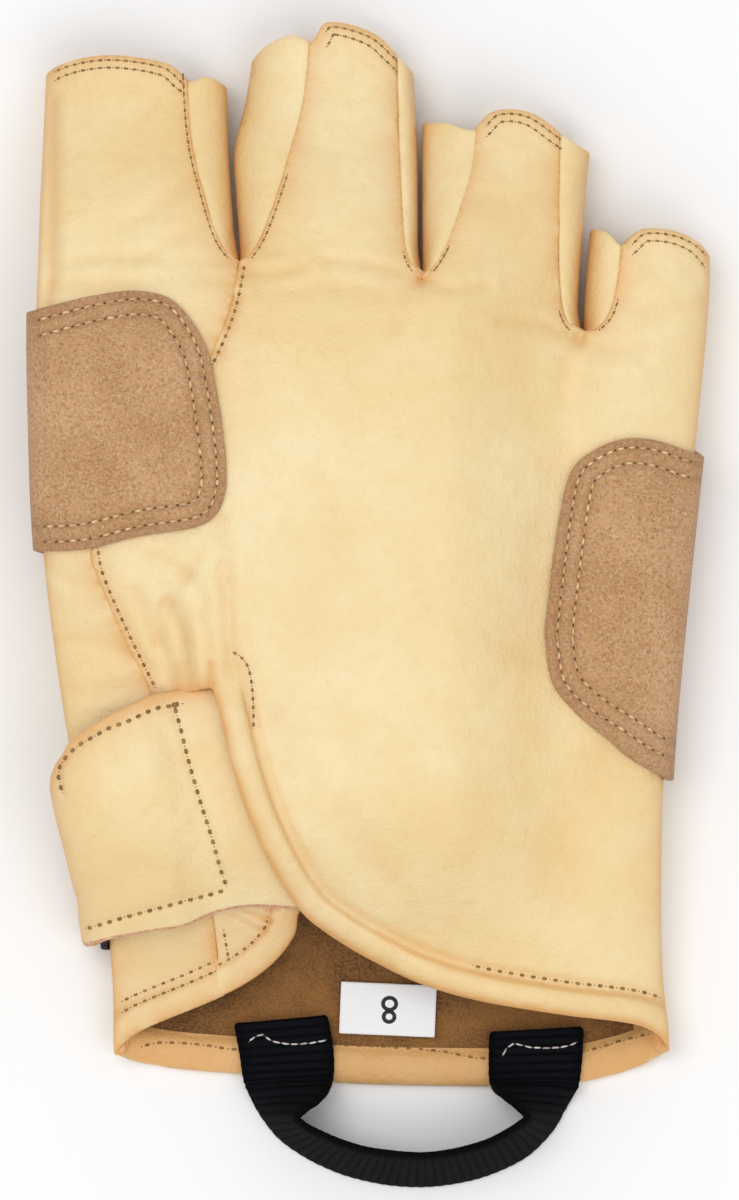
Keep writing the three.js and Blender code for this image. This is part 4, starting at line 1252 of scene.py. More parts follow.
def lane(finger: str, left: PlanLine, right: PlanLine, columns: int, row: float, side: Side) -> Lane:
    """A lane whose columns are evenly spaced on the skin, measured at one row.

    Args:
        finger: The finger's name.
        left: x of its left edge at y.
        right: x of its right edge at y.
        columns: How many faces it is wide.
        row: The share of the glove's length at which it is measured.
        side: The back or the palm.

    Returns:
        The lane.
    """
    samples = 400
    y = np.full(samples, row * GLOVE_LENGTH)
    share = (1 - np.cos(np.linspace(0, np.pi, samples))) / 2
    x = left(y) + (right(y) - left(y)) * share
    z = FORM.skin(x, y, finger, side)
    length = np.r_[0.0, np.cumsum(np.hypot(np.diff(x), np.diff(z)))]
    shares = np.interp(np.linspace(0, length[-1], columns + 1), length, share)
    return Lane(finger, left, right, columns, shares)


@dataclass
class Comb:
    """A panel that runs from a cuff edge up into one or more fingers.

    Attributes:
        lanes: Its strips, from left to right.
        crotches: The y at which neighbouring strips part.
        bottom: Its lower edge, from left to right.
        first: The y up to which it is one patch; the lowest crotch if it has any.
        side: The back or the palm.
        underlap: Whether it is sunk as the lower flap.
        step: The distance between rows.
        gather: How strongly rows gather at the lower edge; 1 is even.
        corner: A corner of the lower edge: its share of the edge's length, and of the columns.
    """

    lanes: list[Lane]
    crotches: list[float]
    bottom: Array
    first: float
    side: Side
    underlap: bool = False
    step: float = 0.75
    gather: float = 1.35
    corner: tuple[float, float] = (1.0, 1.0)

    def columns_at(self, y: Array, first: int, last: int) -> Array:
        """x of the columns of lanes first to last.

        Args:
            y: One y for each row, or for each row and column.
            first: The first lane.
            last: The last lane.

        Returns:
            x, (rows, columns).
        """
        parts = []
        done = 0
        for k in range(first, last + 1):
            strip = self.lanes[k]
            skip = 1 if k > first else 0
            shares = strip.shares[skip:]
            rows = y[:, done : done + len(shares)] if y.shape[1] > 1 else y
            left, right = strip.left(rows), strip.right(rows)
            parts.append(left + (right - left) * shares)
            done += len(shares)
        return np.concatenate(parts, axis=1)

    def heights(self, x: Array, y: Array, first: int, last: int) -> Array:
        """The skin's height at the columns of lanes first to last.

        Args:
            x: x of the columns.
            y: y of the columns.
            first: The first lane.
            last: The last lane.

        Returns:
            Heights, (rows, columns).
        """
        parts = []
        done = 0
        for k in range(first, last + 1):
            strip = self.lanes[k]
            cut = slice(done, done + strip.columns + (1 if k == first else 0))
            parts.append(FORM.skin(x[:, cut], y[:, cut], strip.finger, self.side, underlap=self.underlap))
            done = cut.stop
        return np.concatenate(parts, axis=1)

    def first_patch(self) -> Array:
        """The patch over the hand, as a Coons patch of its four edges.

        Each point is the straight mix of the lower edge and the top row, plus what the left and right
        edges stray from that mix, fading linearly across. Where the lower edge has a corner, the left
        edge's stray fades out at the corner's column.

        Returns:
            Points, (rows, columns, 3).
        """
        last = len(self.lanes) - 1
        top_y = np.full((1, 1), self.first)
        top_x = self.columns_at(top_y, 0, last)[0]
        shares = (top_x - top_x[0]) / (top_x[-1] - top_x[0])
        turn, column = self.corner
        low = even_steps(self.bottom, np.interp(shares, [0.0, column, 1.0], [0.0, turn, 1.0]))
        rows = int(np.ceil((self.first - self.bottom[:, 1].min()) / self.step))
        v = (np.linspace(0, 1, rows + 1) ** self.gather)[:, None]
        x = (1 - v) * low[:, 0] + v * top_x
        y = (1 - v) * low[:, 1] + v * self.first
        left_y, right_y = y[:, :1], y[:, -1:]
        left_stray = self.lanes[0].left(left_y) - x[:, :1]
        right_stray = self.lanes[-1].right(right_y) - x[:, -1:]
        x = x + np.clip(1 - shares / column, 0, 1) * left_stray + shares * right_stray
        outer_left, outer_right = FORM.side_lines(y)
        x = np.clip(x, outer_left, outer_right)
        return np.stack([x, y, self.heights(x, y, 0, last)], axis=-1)

    def branch(self, first: int, last: int, start: float) -> list[Array]:
        """The patches above a row: up to the next crotch, then on into the two groups that part there.

        Args:
            first: The group's first lane.
            last: Its last lane.
            start: The row's y.

        Returns:
            Grids of points.
        """
        if first == last:
            hem = FORM.hems[self.lanes[first].finger]
            top = hem(np.zeros(1) + self.columns_at(np.full((1, 1), start), first, last).mean())[0]
            rows = max(2, int(np.ceil((top - start) / self.step)))
            v = np.linspace(0, 1, rows + 1)[:, None]
            y = np.full((rows + 1, self.lanes[first].columns + 1), start) + v * (top - start)
            for _ in range(6):
                x = self.columns_at(y, first, last)
                y = start + v * (hem(x[-1]) - SEAM_INSET - start)
            x = self.columns_at(y, first, last)
            return [np.stack([x, y, self.heights(x, y, first, last)], axis=-1)]
        inside = self.crotches[first:last]
        end = min(inside)
        where = first + inside.index(end)
        grids = []
        if end > start + 1e-6:
            rows = max(1, int(np.ceil((end - start) / self.step)))
            y = np.linspace(start, end, rows + 1)[:, None]
            x = self.columns_at(y, first, last)
            grids.append(np.stack([x, y + 0 * x, self.heights(x, y + 0 * x, first, last)], axis=-1))
        return grids + self.branch(first, where, end) + self.branch(where + 1, last, end)

    def sheet(self) -> Sheet:
        """The whole panel.

        Returns:
            Its sheet, facing out.
        """
        grids = [self.first_patch()] + self.branch(0, len(self.lanes) - 1, self.first)
        whole = joined([grid_sheet(g) for g in grids])
        return whole if self.side is Side.BACK else whole.flipped()


def clipped_to_sides(line: Array) -> Array:
    """The part of a plan line that lies between the glove's two outer sides.

    Args:
        line: The line's points, (n, 2).

    Returns:
        Points of that part; an end that was cut off lies on the side itself.
    """
    fine = even_steps(line, np.linspace(0, 1, 1200))
    left, right = FORM.side_lines(fine[:, 1])
    inside = (fine[:, 0] >= left) & (fine[:, 0] <= right)
    kept = fine[inside].copy()
    for end in (0, -1):
        if not inside[end]:
            sides = np.array(FORM.side_lines(kept[end, 1]))
            kept[end, 0] = sides[np.argmin(np.abs(sides - kept[end, 0]))]
    return kept


def strap_top(x: Array) -> Array:
    """y of the strap's upper edge at x, on the back of the wrist.

    Args:
        x: Places across.

    Returns:
        y there.
    """
    turn = np.linspace(STRAP_ROWS[0, 0], 180, 200)
    high = smooth_column(STRAP_ROWS[:, 0], STRAP_ROWS[:, 2])(turn) * GLOVE_LENGTH
    xs = FORM.around(high, turn, True)[:, 0]
    order = np.argsort(xs)
    return np.interp(x, xs[order], high[order])


def seam_inset(y: Array) -> Array:
    """How far the panels left and right of the side seam stop from it: they meet on the underlap's roll."""
    gap = distance_to(plan_points(UNDERLAP_EDGE), FORM.seam(y), y)
    return ROLL_OVERLAP + (SEAM_INSET - ROLL_OVERLAP) * smooth_step(ROLL_WIDTH, ROLL_WIDTH + 1.0, gap)


def roll_joint(x: Array, y: Array, gap: Array) -> Array:
    """1 on the underlap's roll at the side seam, 0 away from it."""
    on_roll = 1 - smooth_step(ROLL_WIDTH - 0.6, ROLL_WIDTH + 0.8, gap)
    return hump(x - FORM.seam(y), 1.4) * on_roll


def underlap_roll(gap: Array) -> Array:
    """The underlap's turned edge, at a distance from its edge."""
    return bead(gap, ROLL_WIDTH, (ROLL_HEIGHT * 0.85 - LEATHER) / 2 + 0.25)


def hem_rows(finger: str, sheet: Sheet, up: bool = True) -> list[StitchRow]:
    """The two rows of stitches at a finger's hem.

    Args:
        finger: The finger's name.
        sheet: The panel that they are sewn on.
        up: Whether it is the back.

    Returns:
        The rows.
    """
    low, high = (share * HAND_WIDTH for share in HEM_ROW_ENDS[finger])
    rows = []
    for gap in HEM_ROW_GAPS:
        line = moved_aside(plan_points(HEMS[finger]), -gap)
        shown = line[(line[:, 0] > low) & (line[:, 0] < high)]
        rows.append(StitchRow(shown, sheet, Stitch.FINGER_HEM, up))
    return rows


def gusset_row(gusset: str, branch: int, sheet: Sheet, reach: float) -> StitchRow:
    """The stitches that hold a panel to a gusset, from the crotch up.

    Args:
        gusset: The gusset's name.
        branch: 0 for its left seam, 1 for its right one.
        sheet: The panel.
        reach: How far up the row goes.

    Returns:
        The row.
    """
    from_seam = 0.85 if branch else -0.85
    start = CROTCHES[gusset][1] * GLOVE_LENGTH + 0.6
    y = np.linspace(start, start + reach, 60)
    x = FORM.branches[gusset][branch](y) + from_seam
    return StitchRow(np.stack([x, y], axis=-1), sheet, Stitch.GUSSET)


@dataclass
class BackPanel(SubAssembly):
    """The back of the hand with the backs of three fingers and the overlap's turned edge."""

    roll_rise: float = ROLL_HEIGHT - LEATHER + GAP / 2
    roll_top: tuple[float, float] = (0.345, 0.392)  # where the roll fades out, along the glove
    row_gap: float = 5.6  # from the overlap's edge to its stitches
    row_start: float = 0.15  # where that row starts, across
    slit_clearance: float = 0.9  # from the strap
    corner_column: float = 0.17  # the share of the columns left of the lower edge's corner
    # How far up the stitches go at each gusset's left or right seam
    gusset_reaches: tuple[tuple[str, int, float], ...] = (
        ("index_middle", 1, 14.0), ("middle_ring", 0, 3.0), ("middle_ring", 1, 4.0),
        ("ring_little", 0, 3.0), ("ring_little", 1, 5.0),
    )

    def bottom(self) -> Array:
        """The lower edge: along the strap's upper edge, then down the overlap's edge to the side.

        Returns:
            Its points, (n, 2).
        """
        overlap = plan_points(OVERLAP_EDGE)
        seam_y = np.linspace(0.34, 0.39, 200) * GLOVE_LENGTH
        seam_x = FORM.seam(seam_y)
        meet = np.argmin(np.abs(seam_y - strap_top(seam_x) - self.slit_clearance))
        cut_x = seam_x[meet] + (self.corner_x() - seam_x[meet]) * np.linspace(0.0, 1.0, 40)
        cut = np.stack([cut_x, strap_top(cut_x) + self.slit_clearance], axis=-1)
        rest = overlap[overlap[:, 1] < cut[-1, 1] - 0.4]
        return clipped_to_sides(np.concatenate([cut, rest]))

    def corner(self, bottom: Array) -> tuple[float, float]:
        """The corner where the lower edge turns down into the overlap's edge.

        Args:
            bottom: The lower edge.

        Returns:
            The corner's share of the edge's length, and of the columns.
        """
        steps = np.linalg.norm(np.diff(bottom, axis=0), axis=1)
        length = np.r_[0.0, np.cumsum(steps)]
        turn = np.argmin(np.abs(bottom[:, 0] - self.corner_x()))
        return float(length[turn] / length[-1]), self.corner_column

    @staticmethod
    def corner_x() -> float:
        """The corner's x, just left of the overlap's edge."""
        return float(plan_points(OVERLAP_EDGE)[:, 0].min() - 0.2)

    def comb(self) -> Comb:
        """The panel's strips, one for each finger.

        Returns:
            The comb.
        """
        crotch = {k: v[1] * GLOVE_LENGTH for k, v in CROTCHES.items()}
        gusset = FORM.branches["index_middle"][1]

        def left(y: Array) -> Array:
            """The side seam up to the crotch, then the gusset's seam."""
            return np.where(y <= crotch["index_middle"], FORM.seam(y), gusset(y)) + SEAM_INSET

        lanes = [
            lane("middle", left, lane_edge("middle_ring", 0), 62, 0.76, Side.BACK),
            lane("ring", lane_edge("middle_ring", 1), lane_edge("ring_little", 0), 46, 0.76, Side.BACK),
            lane("little", lane_edge("ring_little", 1), FORM.right_side, 52, 0.7, Side.BACK),
        ]
        partings = [crotch["middle_ring"], crotch["ring_little"]]
        bottom = self.bottom()
        return Comb(lanes, partings, bottom, partings[-1], Side.BACK, corner=self.corner(bottom))

    def build(self) -> None:
        """Makes the panel and its rows of stitches."""
        sheet = self.comb().sheet()
        x, y = sheet.points[:, 0], sheet.points[:, 1]
        edge = plan_points(OVERLAP_EDGE)
        slit_top = 0.4 * GLOVE_LENGTH
        edge = edge[edge[:, 1] < slit_top]
        gap = distance_to(edge, x, y)
        fade = 1 - smooth_step(*self.roll_top, y / GLOVE_LENGTH)
        fade = fade * smooth_step(-0.4, 0.4, x - across_at(edge)(y) + 0.3)
        rise = bead(gap, ROLL_WIDTH, self.roll_rise) * fade
        valley = 0.5 * hump(gap - self.row_gap, 0.9) * fade
        slit = distance_to(plan_points(SLIT_TOP_STITCHES), x, y)
        seam = distance_to(plan_points(SIDE_SEAM), x, y)
        grooves = groove(slit) + 0.2 * hump(seam - 1.0, 0.5)
        creases = crease_relief(x, y, BACK_CREASES)
        relief = hide_waves(x, y, 11) + creases + hem_relief(x, y)
        sheet.points[:, 2] += rise - valley - grooves + settled(relief, rise)
        hem = hem_extra(x, y)
        solid = thickened(sheet, LEATHER + rise * 0.9 + hem)
        # Painted shade beside the overlap's roll and in the valley along its stitches, and painted shade in
        # the creases.
        roll_and_valley_shade = 0.5 * hump(gap, 0.9) + 0.3 * hump(gap - self.row_gap + 0.5, 1.1)
        shaded_worn = roll_and_valley_shade * (y < slit_top) + np.clip(-creases, 0, 1) * CREASE_SHADE
        self.leather("back_panel", sheet, solid, (rise > ROLLED) | (hem > HEMMED), shaded_worn)
        self.sew("back_panel_thread", self.stitches(sheet, edge))

    def stitches(self, sheet: Sheet, edge: Array) -> list[StitchRow]:
        """The rows of stitches, those at the gussets last.

        Args:
            sheet: The panel's outer side.
            edge: The overlap's edge.

        Returns:
            The rows.
        """
        along_edge = moved_aside(edge, self.row_gap)
        along_edge = along_edge[along_edge[:, 0] > self.row_start * HAND_WIDTH]
        along_edge = along_edge[along_edge[:, 0] < FORM.right_side(along_edge[:, 1]) - 0.5]
        finger_seam = moved_aside(plan_points(SIDE_SEAM[:4]), 0.95)[4:]
        side_seam = moved_aside(plan_points(SIDE_SEAM[5:9]), 1.0)[4:-8]
        rows = [
            StitchRow(along_edge, sheet, Stitch.OVERLAP),
            StitchRow(plan_points(SLIT_TOP_STITCHES), sheet, Stitch.SLIT),
            StitchRow(finger_seam, sheet, Stitch.FINGER_SEAM),
            StitchRow(side_seam, sheet, Stitch.SIDE_SEAM),
        ]
        for finger in ("middle", "ring", "little"):
            rows += hem_rows(finger, sheet)
        return rows + [gusset_row(gusset, branch, sheet, up) for gusset, branch, up in self.gusset_reaches]


@dataclass
class IndexPanel(SubAssembly):
    """The back of the index finger, with the side of the hand down to the cuff."""

    def comb(self) -> Comb:
        """The panel's one strip.

        Returns:
            The comb.
        """
        seam_end = CROTCHES["index_middle"][1] * GLOVE_LENGTH
        gusset = FORM.branches["index_middle"][0]

        def right(y: Array) -> Array:
            """The side seam up to the crotch, then the gusset's seam."""
            return np.where(y <= seam_end, FORM.seam(y) - seam_inset(y), gusset(y) - SEAM_INSET)

        edge = plan_points(UNDERLAP_EDGE)[::-1]
        edge = edge[edge[:, 0] < FORM.seam(edge[:, 1]) - ROLL_OVERLAP]
        strip = lane("index", FORM.left_side, right, 56, 0.8, Side.BACK)
        return Comb([strip], [], clipped_to_sides(edge), 0.6 * GLOVE_LENGTH, Side.BACK, underlap=True)

    def build(self) -> None:
        """Makes the panel and its rows of stitches."""
        sheet = self.comb().sheet()
        x, y = sheet.points[:, 0], sheet.points[:, 1]
        edge = plan_points(UNDERLAP_EDGE)
        gap = distance_to(edge, x, y)
        rise = underlap_roll(gap)
        grooves = sum(groove(gap - row) for row in UNDERLAP_ROWS)
        creases = crease_relief(x, y, INDEX_CREASES)
        relief = hide_waves(x, y, 31) + creases + hem_relief(x, y)
        sheet.points[:, 2] += rise - grooves + settled(relief, rise)
        hem = hem_extra(x, y)
        solid = thickened(sheet, LEATHER + rise + hem)
        # Painted shade beside the roll and in the creases, and painted shadow of the strap near the cuff,
        # taken off the roll where it meets the side seam.
        shaded_worn = 0.25 * hump(gap - ROLL_WIDTH, 0.9) + np.clip(-creases, 0, 1) * CREASE_SHADE
        shaded_worn += CUFF_SHADE * (1 - smooth_step(0.12, 0.17, y / GLOVE_LENGTH))
        shaded_worn -= CUFF_SHADE * roll_joint(x, y, gap)
        self.leather("index_panel", sheet, solid, (rise > ROLLED) | (hem > HEMMED), shaded_worn)
        rows = []
        for row in UNDERLAP_ROWS:
            line = moved_aside(edge, -row)
            line = line[line[:, 0] > FORM.left_side(line[:, 1]) + 1.4]
            line = line[line[:, 0] < FORM.seam(line[:, 1]) - 0.6]
            rows.append(StitchRow(line, sheet, Stitch.UNDERLAP))
        rows += hem_rows("index", sheet)
        rows.append(gusset_row("index_middle", 0, sheet, 31.0))
        self.sew("index_panel_thread", rows)


@dataclass
class CuffTongue(SubAssembly):
    """The lower flap of the wrist slit, right of the side seam."""

    rows: int = 90
    columns: int = 50
    row_gap: float = 4.9  # from its edge to its stitches
    # How far up the flap, its turned edge and its stitches go, along the glove
    top: float = 0.378
    edge_top: float = 0.168
    row_top: float = 0.155

    def build(self) -> None:
        """Makes the flap as straight mixes of the seam's line and the flap's turned edge."""
        edge = plan_points(UNDERLAP_EDGE)
        past_seam = edge[:, 0] - FORM.seam(edge[:, 1])
        free = edge[(past_seam > ROLL_OVERLAP) & (edge[:, 1] < self.edge_top * GLOVE_LENGTH)][::-1]
        beyond = plan_points(TONGUE_EDGE, 40)
        right = even_steps(np.concatenate([free, beyond]), np.linspace(0, 1, self.rows + 1))
        left_y = np.linspace(free[0, 1] + 0.05, self.top * GLOVE_LENGTH, self.rows + 1)
        left = np.stack([FORM.seam(left_y) + seam_inset(left_y), left_y], axis=-1)
        u = np.linspace(0, 1, self.columns + 1)[None, :, None]
        plan = left[:, None] * (1 - u) + right[:, None] * u
        x, y = plan[..., 0], plan[..., 1]
        z = FORM.skin(x, y, "index", Side.BACK, underlap=True)
        gap = distance_to(edge, x, y)
        rise = underlap_roll(gap)
        creases = crease_relief(x, y, TONGUE_CREASES)
        z = z + rise - groove(gap - self.row_gap) + 0.5 * hide_waves(x, y, 51) + creases
        sheet = grid_sheet(np.stack([x, y, z], axis=-1))
        solid = thickened(sheet, LEATHER + rise.ravel())
        # Painted shade beside the roll and in the creases, and painted shadow of the strap over the whole
        # flap, a little darker away from the roll and taken off the roll at the side seam.
        shaded_worn = 0.3 * hump(gap - ROLL_WIDTH, 0.9) + np.clip(-creases, 0, 1) * 2 * CREASE_SHADE
        shaded_worn = shaded_worn + CUFF_SHADE + 0.1 * smooth_step(ROLL_WIDTH, ROLL_WIDTH + 2, gap)
        shaded_worn = shaded_worn - CUFF_SHADE * roll_joint(x, y, gap)
        self.leather("cuff_tongue", sheet, solid, rise.ravel() > ROLLED, shaded_worn.ravel())
        shown = edge[(past_seam > 1.2) & (edge[:, 1] < self.row_top * GLOVE_LENGTH)]
        beside_seam = plan_points(TONGUE_SEAM, 20) + (1.3, 0)
        rows = [
            StitchRow(moved_aside(shown, -self.row_gap), sheet, Stitch.UNDERLAP),
            StitchRow(beside_seam, sheet, Stitch.TONGUE),
        ]
        self.sew("cuff_tongue_thread", rows)


@dataclass
class PalmPanel(SubAssembly):
    """The palm and the undersides of the fingers, with the flat hem inside the cuff."""

    def comb(self) -> Comb:
        """The panel's strips, one for each finger.

        Returns:
            The comb.
        """
        left = [FORM.left_side] + [lane_edge(gusset, 1) for gusset in CROTCHES]
        right = [lane_edge(gusset, 0) for gusset in CROTCHES] + [FORM.right_side]
        columns, measured = (44, 36, 30, 36), (0.8, 0.8, 0.8, 0.7)
        lanes = [lane(*strip, Side.PALM) for strip in zip(HEMS, left, right, columns, measured)]
        partings = [place[1] * GLOVE_LENGTH for place in CROTCHES.values()]
        bottom = clipped_to_sides(plan_points(PALM_EDGE))
        return Comb(lanes, partings, bottom, partings[-1], Side.PALM, step=1.0, gather=1.2)

    def build(self) -> None:
        """Makes the panel and its rows of stitches."""
        sheet = self.comb().sheet()
        x, y = sheet.points[:, 0], sheet.points[:, 1]
        gap = distance_to(plan_points(PALM_EDGE), x, y)
        rise = bead(gap, CUFF_HEM_WIDTH, CUFF_HEM_HEIGHT * (1 - THICKEST))
        past_cuff = 20.0
        sheet.points[:, 2] -= hem_relief(x, y) * (gap > past_cuff)
        hem = hem_extra(x, y)
        solid = thickened(sheet, LEATHER + rise + hem)
        self.leather("palm_panel", sheet, solid, (gap < CUFF_HEM_WIDTH + 0.6) | (hem > HEMMED))
        inside = sheet.flipped()
        inside.points = sheet.points - sheet.normals() * (LEATHER + rise)[:, None]
        outside_row = moved_aside(plan_points(PALM_EDGE), CUFF_HEM_WIDTH + 0.3)[14:-14]
        rows = [
            StitchRow(plan_points(PALM_HEM_ROW), inside, Stitch.CUFF_INSIDE),
            StitchRow(outside_row, sheet, Stitch.CUFF_OUTSIDE, up=False),
        ]
        for finger in HEMS:
            rows += hem_rows(finger, sheet, up=False)
        self.sew("palm_panel_thread", rows)


@dataclass
class Gusset(SubAssembly):
    """The strip between two fingers, sewn to the back and the palm along a V."""

    name: str
    rows: int = 60
    columns: int = 28

    def wall(self, finger: str, branch: int) -> Array:
        """One finger's wall: from the back's seam round the finger's side to the palm's seam.

        Across the strip an angle a runs from 0 to π. x goes from the seam to the finger's side by
        sin(a), and z from the seam's height to the side's middle and on by cos(a).

        Args:
            finger: The finger.
            branch: 0 for the wall left of the crotch, 1 for the one right of it.

        Returns:
            Points, (rows, columns, 3).
        """
        crotch_x, crotch_y = CROTCHES[self.name][0] * HAND_WIDTH, CROTCHES[self.name][1] * GLOVE_LENGTH
        seam = FORM.branches[self.name][branch]
        hem = FORM.hems[finger]
        way = 1 if branch else -1
        angle = np.linspace(0, np.pi, self.columns + 1)[None, :]
        share = np.linspace(0, 1, self.rows + 1)[:, None] ** 1.2
        y = crotch_y + share * (hem(crotch_x + 0 * angle) - crotch_y)
        side = FORM.fingers[finger][0 if branch else 1]
        for _ in range(5):
            open_share = smooth_step(0.0, 3.0, y - crotch_y)
            seam_x = seam(y) - SEAM_INSET * way * 0.3 * open_share
            side_x = side(y / GLOVE_LENGTH) * HAND_WIDTH
            side_x = crotch_x + (side_x + 0.12 * way - crotch_x) * smooth_step(-1.0, 5.0, y - crotch_y)
            x = seam_x + (side_x - seam_x) * np.sin(angle)
            y = crotch_y + share * (hem(x[-1:]) - SEAM_INSET - crotch_y)
        top = FORM.skin(seam_x, y, finger, Side.BACK)
        low = FORM.skin(seam_x, y, finger, Side.PALM)
        z = (top + low) / 2 + (top - low) / 2 * np.cos(angle)
        return np.stack([x, y, z], axis=-1)

    def build(self) -> None:
        """Makes both walls, joined at the crotch."""
        left_finger, right_finger = self.name.split("_")
        left = grid_sheet(self.wall(left_finger, 0))
        right = grid_sheet(self.wall(right_finger, 1)).flipped()
        sheet = joined([left, right], by_plan=False)
        self.leather(f"gusset_{self.name}", sheet, thickened(sheet, LEATHER))


@dataclass
class ThumbStall(SubAssembly):
    """The open thumb stall, folded flat under the palm: superellipse rings along its path."""

    sides: int = 72
    rows: int = 90
    squareness: float = 2.5
    # Rows of the path's table left out at its closed and its open end
    start: float = 0.5
    end_left: float = 0.42

    def rings(self) -> Array:
        """Points of its outside.

        Returns:
            The rings, (rows, sides + 1, 3).
        """
        path = THUMB_ROWS[:, :2] * (HAND_WIDTH, GLOVE_LENGTH)
        key = np.arange(len(path), dtype=float)
        place = np.linspace(self.start, key[-1] - self.end_left, self.rows + 1)
        centre = np.stack([smooth_column(key, path[:, k])(place) for k in (0, 1)], axis=-1)
        forward = np.gradient(centre, axis=0)
        forward /= np.linalg.norm(forward, axis=1, keepdims=True)
        width, height, rise = (smooth_column(key, THUMB_ROWS[:, k])(place) for k in (2, 3, 4))
        turn = np.linspace(0, 2 * np.pi, self.sides + 1)
        power = 2 / self.squareness
        reach = np.sign(np.cos(turn)) * np.abs(np.cos(turn)) ** power
        flat = np.sign(np.sin(turn)) * np.minimum(1, UNDERSIDE_FLATNESS * np.abs(np.sin(turn)) ** power)
        half = (THUMB_WIDTH * width / 2)[:, None] * reach
        x = centre[:, :1] + forward[:, 1:] * half
        y = centre[:, 1:] - forward[:, :1] * half
        middle = THUMB_HEIGHT * (0.5 + rise)
        z = middle[:, None] - flat * (THUMB_HEIGHT * height / 2)[:, None]
        return np.stack([x, y, z], axis=-1)

    def build(self) -> None:
        """Makes the stall, facing out."""
        sheet = joined([grid_sheet(self.rings())], by_plan=False)
        outward = ((sheet.points - sheet.points.mean(0)) * sheet.normals()).sum()
        sheet = sheet if outward >= 0 else sheet.flipped()
        self.leather("thumb_stall", sheet, thickened(sheet, LEATHER, roundness=0.5))


@dataclass
class SuedeGuard(SubAssembly):
    """The reinforcement round the palm, in one strip from the index patch to the little finger's.

    Its columns go from the index patch's inner edge over the side and under the palm to the little
    patch's inner edge, and its rows between the guard's two edges.
    """

    rows: int = 96
    patch_columns: int = 90
    palm_columns: int = 148
    row_gaps: tuple[float, float] = (1.3, 3.9)  # from its edge to its two rows of stitches
    reach: float = GAP + SUEDE  # of its outer side from the skin
    row_end: int = 8  # points by which a row of stitches stops short of the side

    def patch(self, low_line: Array, high_line: Array, finger: str) -> Array:
        """The patch on the back, from its inner edge to the side, with columns gathered at both.

        Args:
            low_line: Its lower edge.
            high_line: Its upper edge.
            finger: "index" on the left, "little" on the right.

        Returns:
            Points, (rows, columns, 3).
        """
        on_left = finger == "index"
        inner = low_line[:, 0].max() if on_left else low_line[:, 0].min()
        outer = HAND_WIDTH * (-0.5 if on_left else 0.5)
        mix = (1 - np.cos(np.pi * np.linspace(0, 1, self.patch_columns))) / 2
        x = inner + (outer - inner) * mix
        low, high = along_at(low_line)(x), along_at(high_line)(x)
        y = low + np.linspace(0, 1, self.rows + 1)[:, None] * (high - low)
        side_x = FORM.left_side(y) - self.reach if on_left else FORM.right_side(y) + self.reach
        x = inner + (side_x - inner) * mix
        return np.stack([x, y, FORM.skin(x, y, finger, Side.BACK, offset=self.reach)], axis=-1)

    def under(self, left_y: Array, right_y: Array) -> Array:
        """The strip under the palm, without the columns that the patches end with.

        Args:
            left_y: y of the rows where the index patch ends.
            right_y: y of the rows where the little patch ends.

        Returns:
            Points, (rows, columns, 3).
        """
        share = np.linspace(0, 1, self.rows + 1)[:, None]
        across = np.linspace(-0.5, 0.5, self.palm_columns)[None, :] * HAND_WIDTH
        low, high = (along_at(plan_points(rows))(across) for rows in (PALM_PATCH_LOW, PALM_PATCH_HIGH))
        mix = (1 - np.cos(np.pi * np.linspace(0, 1, self.palm_columns + 2)[None, 1:-1])) / 2
        ends = left_y[:, None] * (1 - mix) + right_y[:, None] * mix
        inside = np.sin(np.pi * mix) ** 0.5
        y = ends * (1 - inside) + (low + share * (high - low)) * inside
        left, right = FORM.side_lines(y)
        x = (left - self.reach) * (1 - mix) + (right + self.reach) * mix
        return np.stack([x, y, FORM.skin(x, y, "middle", Side.PALM, offset=self.reach)], axis=-1)

    def build(self) -> None:
        """Makes the guard and its two rows of stitches on each patch."""
        index_low, index_high = plan_points(INDEX_PATCH_LOW), plan_points(INDEX_PATCH_HIGH)
        little_low, little_high = plan_points(LITTLE_PATCH_LOW), plan_points(LITTLE_PATCH_HIGH)
        left = self.patch(index_low, index_high, "index")
        right = self.patch(little_low, little_high, "little")[:, ::-1]
        under = self.under(left[:, -1, 1], right[:, 0, 1])
        sheet = grid_sheet(np.concatenate([left, under, right], axis=1)).flipped()
        x, y = sheet.points[:, 0], sheet.points[:, 1]
        index_edge = np.concatenate([index_low[self.row_end :], index_high[::-1][: -self.row_end]])
        little_edge = np.concatenate([little_high[::-1][self.row_end :], little_low[: -self.row_end]])
        lines = [moved_aside(edge, row) for edge in (index_edge, little_edge) for row in self.row_gaps]
        gap = np.min([distance_to(line, x, y) for line in lines], axis=0)
        upper = sheet.normals()[:, 2] > 0
        wave = 0.16 * soft_noise(x, y, 9.0, 91) + 0.05 * soft_noise(x, y, 2.2, 92)
        sheet.points[:, 2] += np.where(upper, wave - 0.14 * hump(gap, 0.5), 0)
        solid = thickened(sheet, SUEDE, roundness=0.3)
        # Painted shade and wear towards the guard's edges and down its sides; the groove mark darkens the
        # rows of stitches, partly pressed nap and partly painted shade.
        marks = {"shade_and_wear": sheet.shade_and_wear()[solid.source], "groove": (hump(gap, 0.7) * upper)[solid.source]}
        materials = [self.finishes.nap, self.finishes.flesh]
        under_side = (solid.part == 2).astype(int)
        piece("suede_guard_nap", solid, materials, ["suede_guard"], marks, under_side)
        rows = []
        for line in lines:
            low, high = FORM.side_lines(line[:, 1])
            shown = line[(line[:, 0] > low + 0.4) & (line[:, 0] < high - 0.4)]
            rows.append(StitchRow(shown, sheet, Stitch.GUARD))
        self.sew("suede_guard_thread", rows, "suede", self.finishes.suede_thread)


